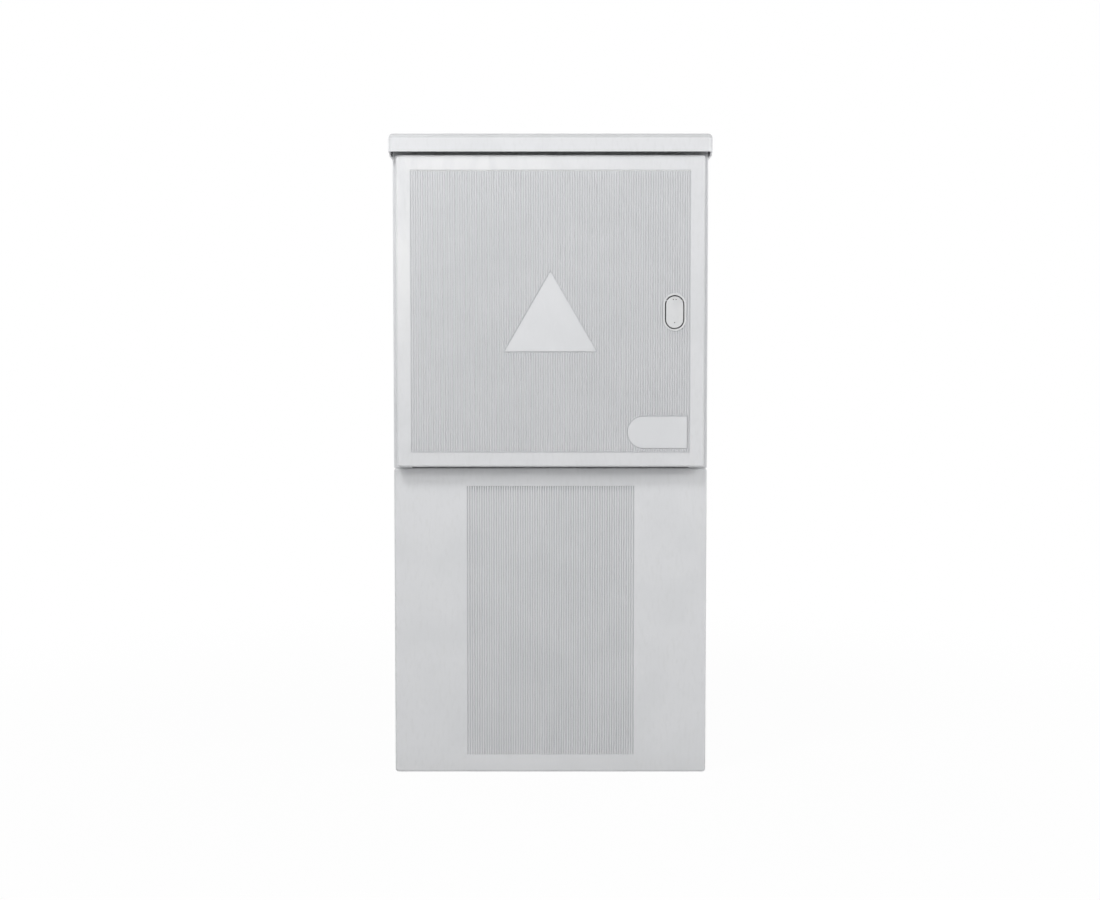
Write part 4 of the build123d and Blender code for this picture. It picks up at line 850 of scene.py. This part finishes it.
class CABINET_OT_door_seal(bpy.types.Operator):
    """Model the rubber bulb seal in place of the plain gasket"""
    bl_idname = "cabinet.door_seal"
    bl_label = "Door seal"

    def execute(self, context):
        s = context.scene.cabinet_seal
        low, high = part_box("door_gasket")
        size = high - low
        seal = start("door_seal", bpy.ops.mesh.primitive_plane_add, size=1,
                     location=((low.x + high.x) / 2, low.y, (low.z + high.z) / 2), rotation=(-pi / 2, 0, 0))
        seal.scale = (size.x, size.z, 1)
        settle()
        edit(seal)
        bpy.ops.mesh.select_all(action="SELECT")
        bpy.ops.mesh.inset(thickness=s.width)
        bpy.ops.mesh.delete(type="FACE")
        bpy.ops.mesh.select_all(action="SELECT")
        extrude(0, s.lip, 0)
        bpy.ops.mesh.inset(thickness=s.waist)
        extrude(0, s.neck, 0)
        bpy.ops.mesh.inset(thickness=s.waist * s.bulb_share, use_outset=True)
        extrude(0, size.y - s.lip - s.neck, 0)
        crown = high.y - NEAR
        pick(seal, "EDGE", lambda e: all(v.co.y > crown for v in e.verts)
             and len([f for f in e.link_faces if f.normal.y > FACING_SHARE]) == 1)
        bpy.ops.mesh.bevel(offset=s.crown, segments=5, affect="EDGES", clamp_overlap=True)
        bpy.ops.mesh.select_all(action="SELECT")
        bpy.ops.mesh.normals_make_consistent(inside=False)
        leave()
        p = context.scene.cabinet_plastic
        rubber = moulding("seal_rubber", p, p.rubber, p.rubber_roughness, p.rubber_grain,
                          p.rubber_speck_share)
        finish_piece(seal, rubber, "door", "gasket_rubber", "door_gasket")
        return {"FINISHED"}


# Fasteners

def hex_bolt(settings, flats, head, shank, reach):
    """Hexagon bolt with a washer; its seat is at the origin and its head up."""
    washer = settings.washer
    bolt = start("hex_bolt", bpy.ops.mesh.primitive_cylinder_add, vertices=settings.head_sides,
                 radius=settings.washer_share * flats / 2, depth=washer, location=(0, 0, washer / 2))
    settle()
    edit(bolt)
    pick(bolt, "EDGE", lambda e: all(v.co.z > washer / 2 for v in e.verts))
    bpy.ops.mesh.bevel(offset=washer * settings.washer_edge_share, segments=2, affect="EDGES")
    bpy.ops.mesh.primitive_cylinder_add(vertices=6, radius=flats / sqrt(3), depth=head - washer,
                                        location=(0, 0, (head + washer) / 2))
    top = head - NEAR
    pick(bolt, "EDGE", lambda e: all(v.co.z > top for v in e.verts))
    bpy.ops.mesh.bevel(offset=(head - washer) * settings.hex_edge_share, segments=2, affect="EDGES")
    pick(bolt, "FACE", lambda f: f.calc_center_median().z > top and f.normal.z > FACING_SHARE)
    bpy.ops.mesh.inset(thickness=flats * settings.hex_rim_share)
    bpy.ops.transform.translate(value=(0, 0, -washer * settings.hex_sink_share))
    add_shank(bolt, settings, shank / 2, reach)
    return bolt


def pan_screw(settings, width, head, shank, reach):
    """Pan head screw with a cross recess; its seat is at the origin and its head up."""
    screw = start("pan_screw", bpy.ops.mesh.primitive_cylinder_add, vertices=settings.head_sides,
                  radius=width / 2, depth=head, location=(0, 0, head / 2))
    settle()
    edit(screw)
    top = head - NEAR
    pick(screw, "EDGE", lambda e: all(v.co.z > top for v in e.verts))
    bpy.ops.mesh.bevel(offset=head * settings.dome_share, segments=4, affect="EDGES")
    arm = settings.recess_width / 2
    tip = width * settings.recess_share
    for across in ((1, 0, 0), (0, 1, 0)):
        for side in (-tip, -arm, arm, tip):
            bpy.ops.mesh.select_all(action="SELECT")
            bpy.ops.mesh.bisect(plane_co=[side * part for part in across], plane_no=across)

    def in_cross(face):
        x, y, z = (abs(part) for part in face.calc_center_median())
        return face.normal.z > FACING_SHARE and z > top and max(x, y) < tip and min(x, y) < arm

    pick(screw, "FACE", in_cross)
    extrude(0, 0, -settings.recess)
    add_shank(screw, settings, shank / 2, reach)
    return screw


def add_shank(screw, settings, radius, reach):
    """Add the shank with a pointed end to the edited screw, and leave it."""
    bpy.ops.mesh.primitive_cylinder_add(vertices=settings.shank_sides, radius=radius, depth=reach,
                                        location=(0, 0, -reach / 2))
    end = NEAR - reach
    pick(screw, "EDGE", lambda e: all(v.co.z < end for v in e.verts))
    bpy.ops.mesh.bevel(offset=radius * settings.point_share, segments=1, affect="EDGES")
    leave()


def screw_places(node, axis):
    """Middle of the head's top, direction out of the head and length of each screw of a CAD node."""
    places = []
    for points in islands(node):
        low, high = corners(points)
        middle = (low + high) / 2
        width = {}
        for end in (low[axis], high[axis]):
            rim = [point - middle for point in points if abs(point[axis] - end) < NEAR]
            width[end] = max(sum(part[i] ** 2 for i in range(3) if i != axis) for part in rim)
        outward = 1 if width[high[axis]] >= width[low[axis]] * EVEN_SHARE else -1
        direction = Vector([outward if i == axis else 0 for i in range(3)])
        places.append((middle + direction * (high[axis] - low[axis]) / 2, direction, high[axis] - low[axis]))
    return places


def set_in(screw, head, places):
    """Copy a modelled screw to each place, and join the copies."""
    copies = []
    for top, direction, _ in places:
        copy = copy_of(screw)
        copy.location = top - direction * head
        copy.rotation_euler = direction.to_track_quat("Z", "Y").to_euler()
        copies.append(copy)
    discard(screw)
    for copy in copies:
        copy.select_set(True)
    bpy.context.view_layer.objects.active = copies[0]
    bpy.ops.object.join()
    return copies[0]


def clamp_places(head):
    """Places of the bolts that hold the busbars on their supports."""
    ahead = Vector((0, -1, 0))
    places = []
    for support in ("busbar_support_left", "busbar_support_right"):
        low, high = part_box(support)
        for bar in ("busbar_top", "busbar_middle", "busbar_bottom"):
            front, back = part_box(bar)
            seat = Vector(((low.x + high.x) / 2, front.y, (front.z + back.z) / 2))
            places.append((seat + ahead * head, ahead, 0))
    return places


class CABINET_OT_fasteners(bpy.types.Operator):
    """Model the bolts and screws with their washers and recesses"""
    bl_idname = "cabinet.fasteners"
    bl_label = "Fasteners"

    def execute(self, context):
        s = context.scene.cabinet_fastener
        plating = bpy.data.materials["zinc_plating"]
        across, deep, up = range(3)
        m4 = (pan_screw, s.m4_width, s.m4_head, s.m4_shank)
        m6 = (hex_bolt, s.m6_flats, s.m6_head, s.m6_shank)
        m8 = (hex_bolt, s.m8_flats, s.m8_head, s.m8_shank)
        groups = (
            ("panel_screws", deep, m6, "cabinet"),
            ("frame_screws", deep, m4, "cabinet"),
            ("cable_rail_screws", across, m6, "cabinet"),
            ("floor_bolts", up, m8, "cabinet"),
            ("roof_screws", up, m6, "cabinet"),
            ("plate_screws", deep, m6, "cabinet"),
            ("neutral_bolts", deep, m8, "cabinet"),
            ("door_screws", deep, m4, "door"),
            ("lock_cover_screws", deep, m4, "door"),
        )
        for node, axis, (model, width, head, shank), body in groups:
            places = screw_places(node, axis)
            reach = min(place[2] for place in places) - head
            if node == "floor_bolts":
                places += [(top - direction * size, -direction, size) for top, direction, size in places]
                reach = (reach + head - s.tip_gap) / 2 - head
            group = set_in(model(s, width, head, shank, reach), head, places)
            rename(group, node + "_fitted")
            finish_piece(group, plating, body, "zinc_fastener", node)
        model, width, head, shank = m8
        clamps = set_in(model(s, width, head, shank, s.clamp_reach), head, clamp_places(head))
        rename(clamps, "busbar_clamp_bolts")
        finish_piece(clamps, plating, "cabinet", "zinc_fastener")
        return {"FINISHED"}


class CABINET_OT_terminal_covers(bpy.types.Operator):
    """Model the covers over the lower terminals of the fuse rails"""
    bl_idname = "cabinet.terminal_covers"
    bl_label = "Terminal covers"

    def execute(self, context):
        s = context.scene.cabinet_fitting
        rails = nodes_named("fuse_rail")
        low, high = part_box(rails[0])
        cover = start("terminal_cover", bpy.ops.mesh.primitive_cube_add, size=1)
        cover.scale = (high.x - low.x - 2 * s.margin, s.thickness, s.height)
        settle()
        edit(cover)
        front = -s.thickness / 2
        pick(cover, "FACE", lambda f: f.normal.y < -FACING_SHARE)
        bpy.ops.mesh.inset(thickness=s.rim)
        extrude(0, s.sink, 0)
        bottom = s.rim - s.height / 2
        bands = 2 * s.grip_ribs + 1
        step = (s.height - 2 * s.rim) / bands
        for band in range(1, bands):
            bpy.ops.mesh.select_all(action="SELECT")
            bpy.ops.mesh.bisect(plane_co=(0, 0, bottom + band * step), plane_no=(0, 0, 1))

        def in_grip(face):
            middle = face.calc_center_median()
            band = int((middle.z - bottom) / step)
            sunk = abs(middle.y - front - s.sink) < NEAR
            return face.normal.y < -FACING_SHARE and sunk and band % 2 == 1

        pick(cover, "FACE", in_grip)
        bpy.ops.mesh.inset(thickness=s.edge, use_individual=True)
        extrude(0, -s.grip, 0)

        def is_corner(edge):
            sharp = edge.is_convex and edge.calc_face_angle(0) > SHARP_ANGLE
            return sharp and edge.calc_length() > s.long_edge

        pick(cover, "EDGE", is_corner)
        bpy.ops.mesh.bevel(offset=s.edge / 2, segments=2, affect="EDGES")
        leave()
        housing = bpy.data.materials["rail_housing"]
        for name in rails:
            low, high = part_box(name)
            copy = copy_of(cover)
            copy.location = ((low.x + high.x) / 2, low.y + front, low.z + s.margin + s.height / 2)
            rename(copy, "terminal_cover_" + name[-1])
            finish_piece(copy, housing, "cabinet", "rail_housing")
        discard(cover)
        return {"FINISHED"}


# Stage

def lay_floor(settings):
    """Pale floor that keeps the shadow and turns into the white background."""
    floor = start("floor", bpy.ops.mesh.primitive_plane_add, size=settings.floor_size)
    f = Finish("pale_floor")
    shade = f.add("ShaderNodeBsdfDiffuse", sockets={"Color": (*settings.floor_white, 1)})
    glow = f.add("ShaderNodeEmission", sockets={"Color": (1, 1, 1, 1), "Strength": 1.0})
    distance = f.add("ShaderNodeVectorMath", {"operation": "LENGTH"}, {0: f.place}, out="Value")
    away = f.ramp(distance, settings.floor_near, settings.floor_far)
    shown = f.background() * (settings.floor_glow + away * (1 - settings.floor_glow))
    both = f.add("ShaderNodeMixShader", sockets={0: shown, 1: shade, 2: glow})
    f.add("ShaderNodeOutputMaterial", sockets={"Surface": both})
    floor.data.materials.append(f.material)


def light_room(scene, settings):
    """Even light of the room, which shows as the white background."""
    scene.world = bpy.data.worlds.new("studio")
    w = Nodes(scene.world)
    level = w.add("ShaderNodeMapRange", sockets={
        "Value": w.background(), "To Min": settings.room_light, "To Max": 1.0})
    sky = w.add("ShaderNodeBackground", sockets={"Color": (1, 1, 1, 1), "Strength": level})
    w.add("ShaderNodeOutputWorld", sockets={"Surface": sky})


def softbox(name, position, size, watts, aim):
    """Area light that faces a point."""
    bpy.ops.object.light_add(type="AREA", location=position)
    lamp = bpy.context.object
    lamp.name = name
    lamp.data.shape = "RECTANGLE"
    lamp.data.size, lamp.data.size_y = size
    lamp.data.energy = watts
    lamp.rotation_euler = (Vector(aim) - Vector(position)).to_track_quat("-Z", "Y").to_euler()


class CABINET_OT_stage(bpy.types.Operator):
    """Lay the floor, hang the soft lights and set the camera"""
    bl_idname = "cabinet.stage"
    bl_label = "Stage"

    def execute(self, context):
        s = context.scene.cabinet_stage
        lay_floor(s)
        light_room(context.scene, s)
        softbox("key_light", s.key_place, s.key_size, s.key_power, s.aim)
        softbox("side_light", s.side_place, s.side_size, s.side_power, s.aim)
        softbox("high_light", s.high_place, s.high_size, s.high_power, s.aim)
        softbox("fill_light", s.fill_place, s.fill_size, s.fill_power, s.aim)
        softbox("edge_light", s.edge_place, s.edge_size, s.edge_power, s.aim)
        x, y, z = s.back_place
        softbox("back_light_left", (-x, y, z), s.back_size, s.back_power, s.aim)
        softbox("back_light_right", (x, y, z), s.back_size, s.back_power, s.aim)
        bpy.ops.object.camera_add(location=s.eye, rotation=(pi / 2 - s.tilt, 0, 0))
        camera = context.object
        camera.name = "photo_camera"
        camera.data.lens = s.lens
        camera.data.sensor_fit = "HORIZONTAL"
        camera.data.sensor_width = s.sensor
        context.scene.camera = camera
        context.scene.view_settings.view_transform = "Standard"
        return {"FINISHED"}


class CABINET_PT_panel(bpy.types.Panel):
    """Steps that dress the cabinet"""
    bl_idname = "CABINET_PT_panel"
    bl_label = "Utility cabinet"
    bl_space_type = "VIEW_3D"
    bl_region_type = "UI"
    bl_category = "Cabinet"

    def draw(self, context):
        for operator in OPERATORS:
            self.layout.operator(operator.bl_idname)
        for key, group in SETTINGS.items():
            box = self.layout.box()
            for name in group.__annotations__:
                box.prop(getattr(context.scene, key), name)


SETTINGS = {
    "cabinet_shell": ShellSettings,
    "cabinet_lock": LockSettings,
    "cabinet_metal": MetalSettings,
    "cabinet_plastic": PlasticSettings,
    "cabinet_seal": SealSettings,
    "cabinet_fastener": FastenerSettings,
    "cabinet_fitting": FittingSettings,
    "cabinet_stage": StageSettings,
}
OPERATORS = (
    CABINET_OT_stage,
    CABINET_OT_shell,
    CABINET_OT_lock_face,
    CABINET_OT_inner_metal,
    CABINET_OT_insulation,
    CABINET_OT_door_seal,
    CABINET_OT_fasteners,
    CABINET_OT_terminal_covers,
)
CLASSES = (*SETTINGS.values(), *OPERATORS, CABINET_PT_panel)


def register():
    for cls in CLASSES:
        bpy.utils.register_class(cls)
    for key, group in SETTINGS.items():
        setattr(bpy.types.Scene, key, PointerProperty(type=group))


def unregister():
    for key in SETTINGS:
        delattr(bpy.types.Scene, key)
    for cls in reversed(CLASSES):
        bpy.utils.unregister_class(cls)


def main():
    register()
    bpy.ops.cabinet.stage()
    bpy.ops.cabinet.shell()
    bpy.ops.cabinet.lock_face()
    bpy.ops.cabinet.inner_metal()
    bpy.ops.cabinet.insulation()
    bpy.ops.cabinet.door_seal()
    bpy.ops.cabinet.fasteners()
    bpy.ops.cabinet.terminal_covers()


if __name__ == "__main__":
    main()
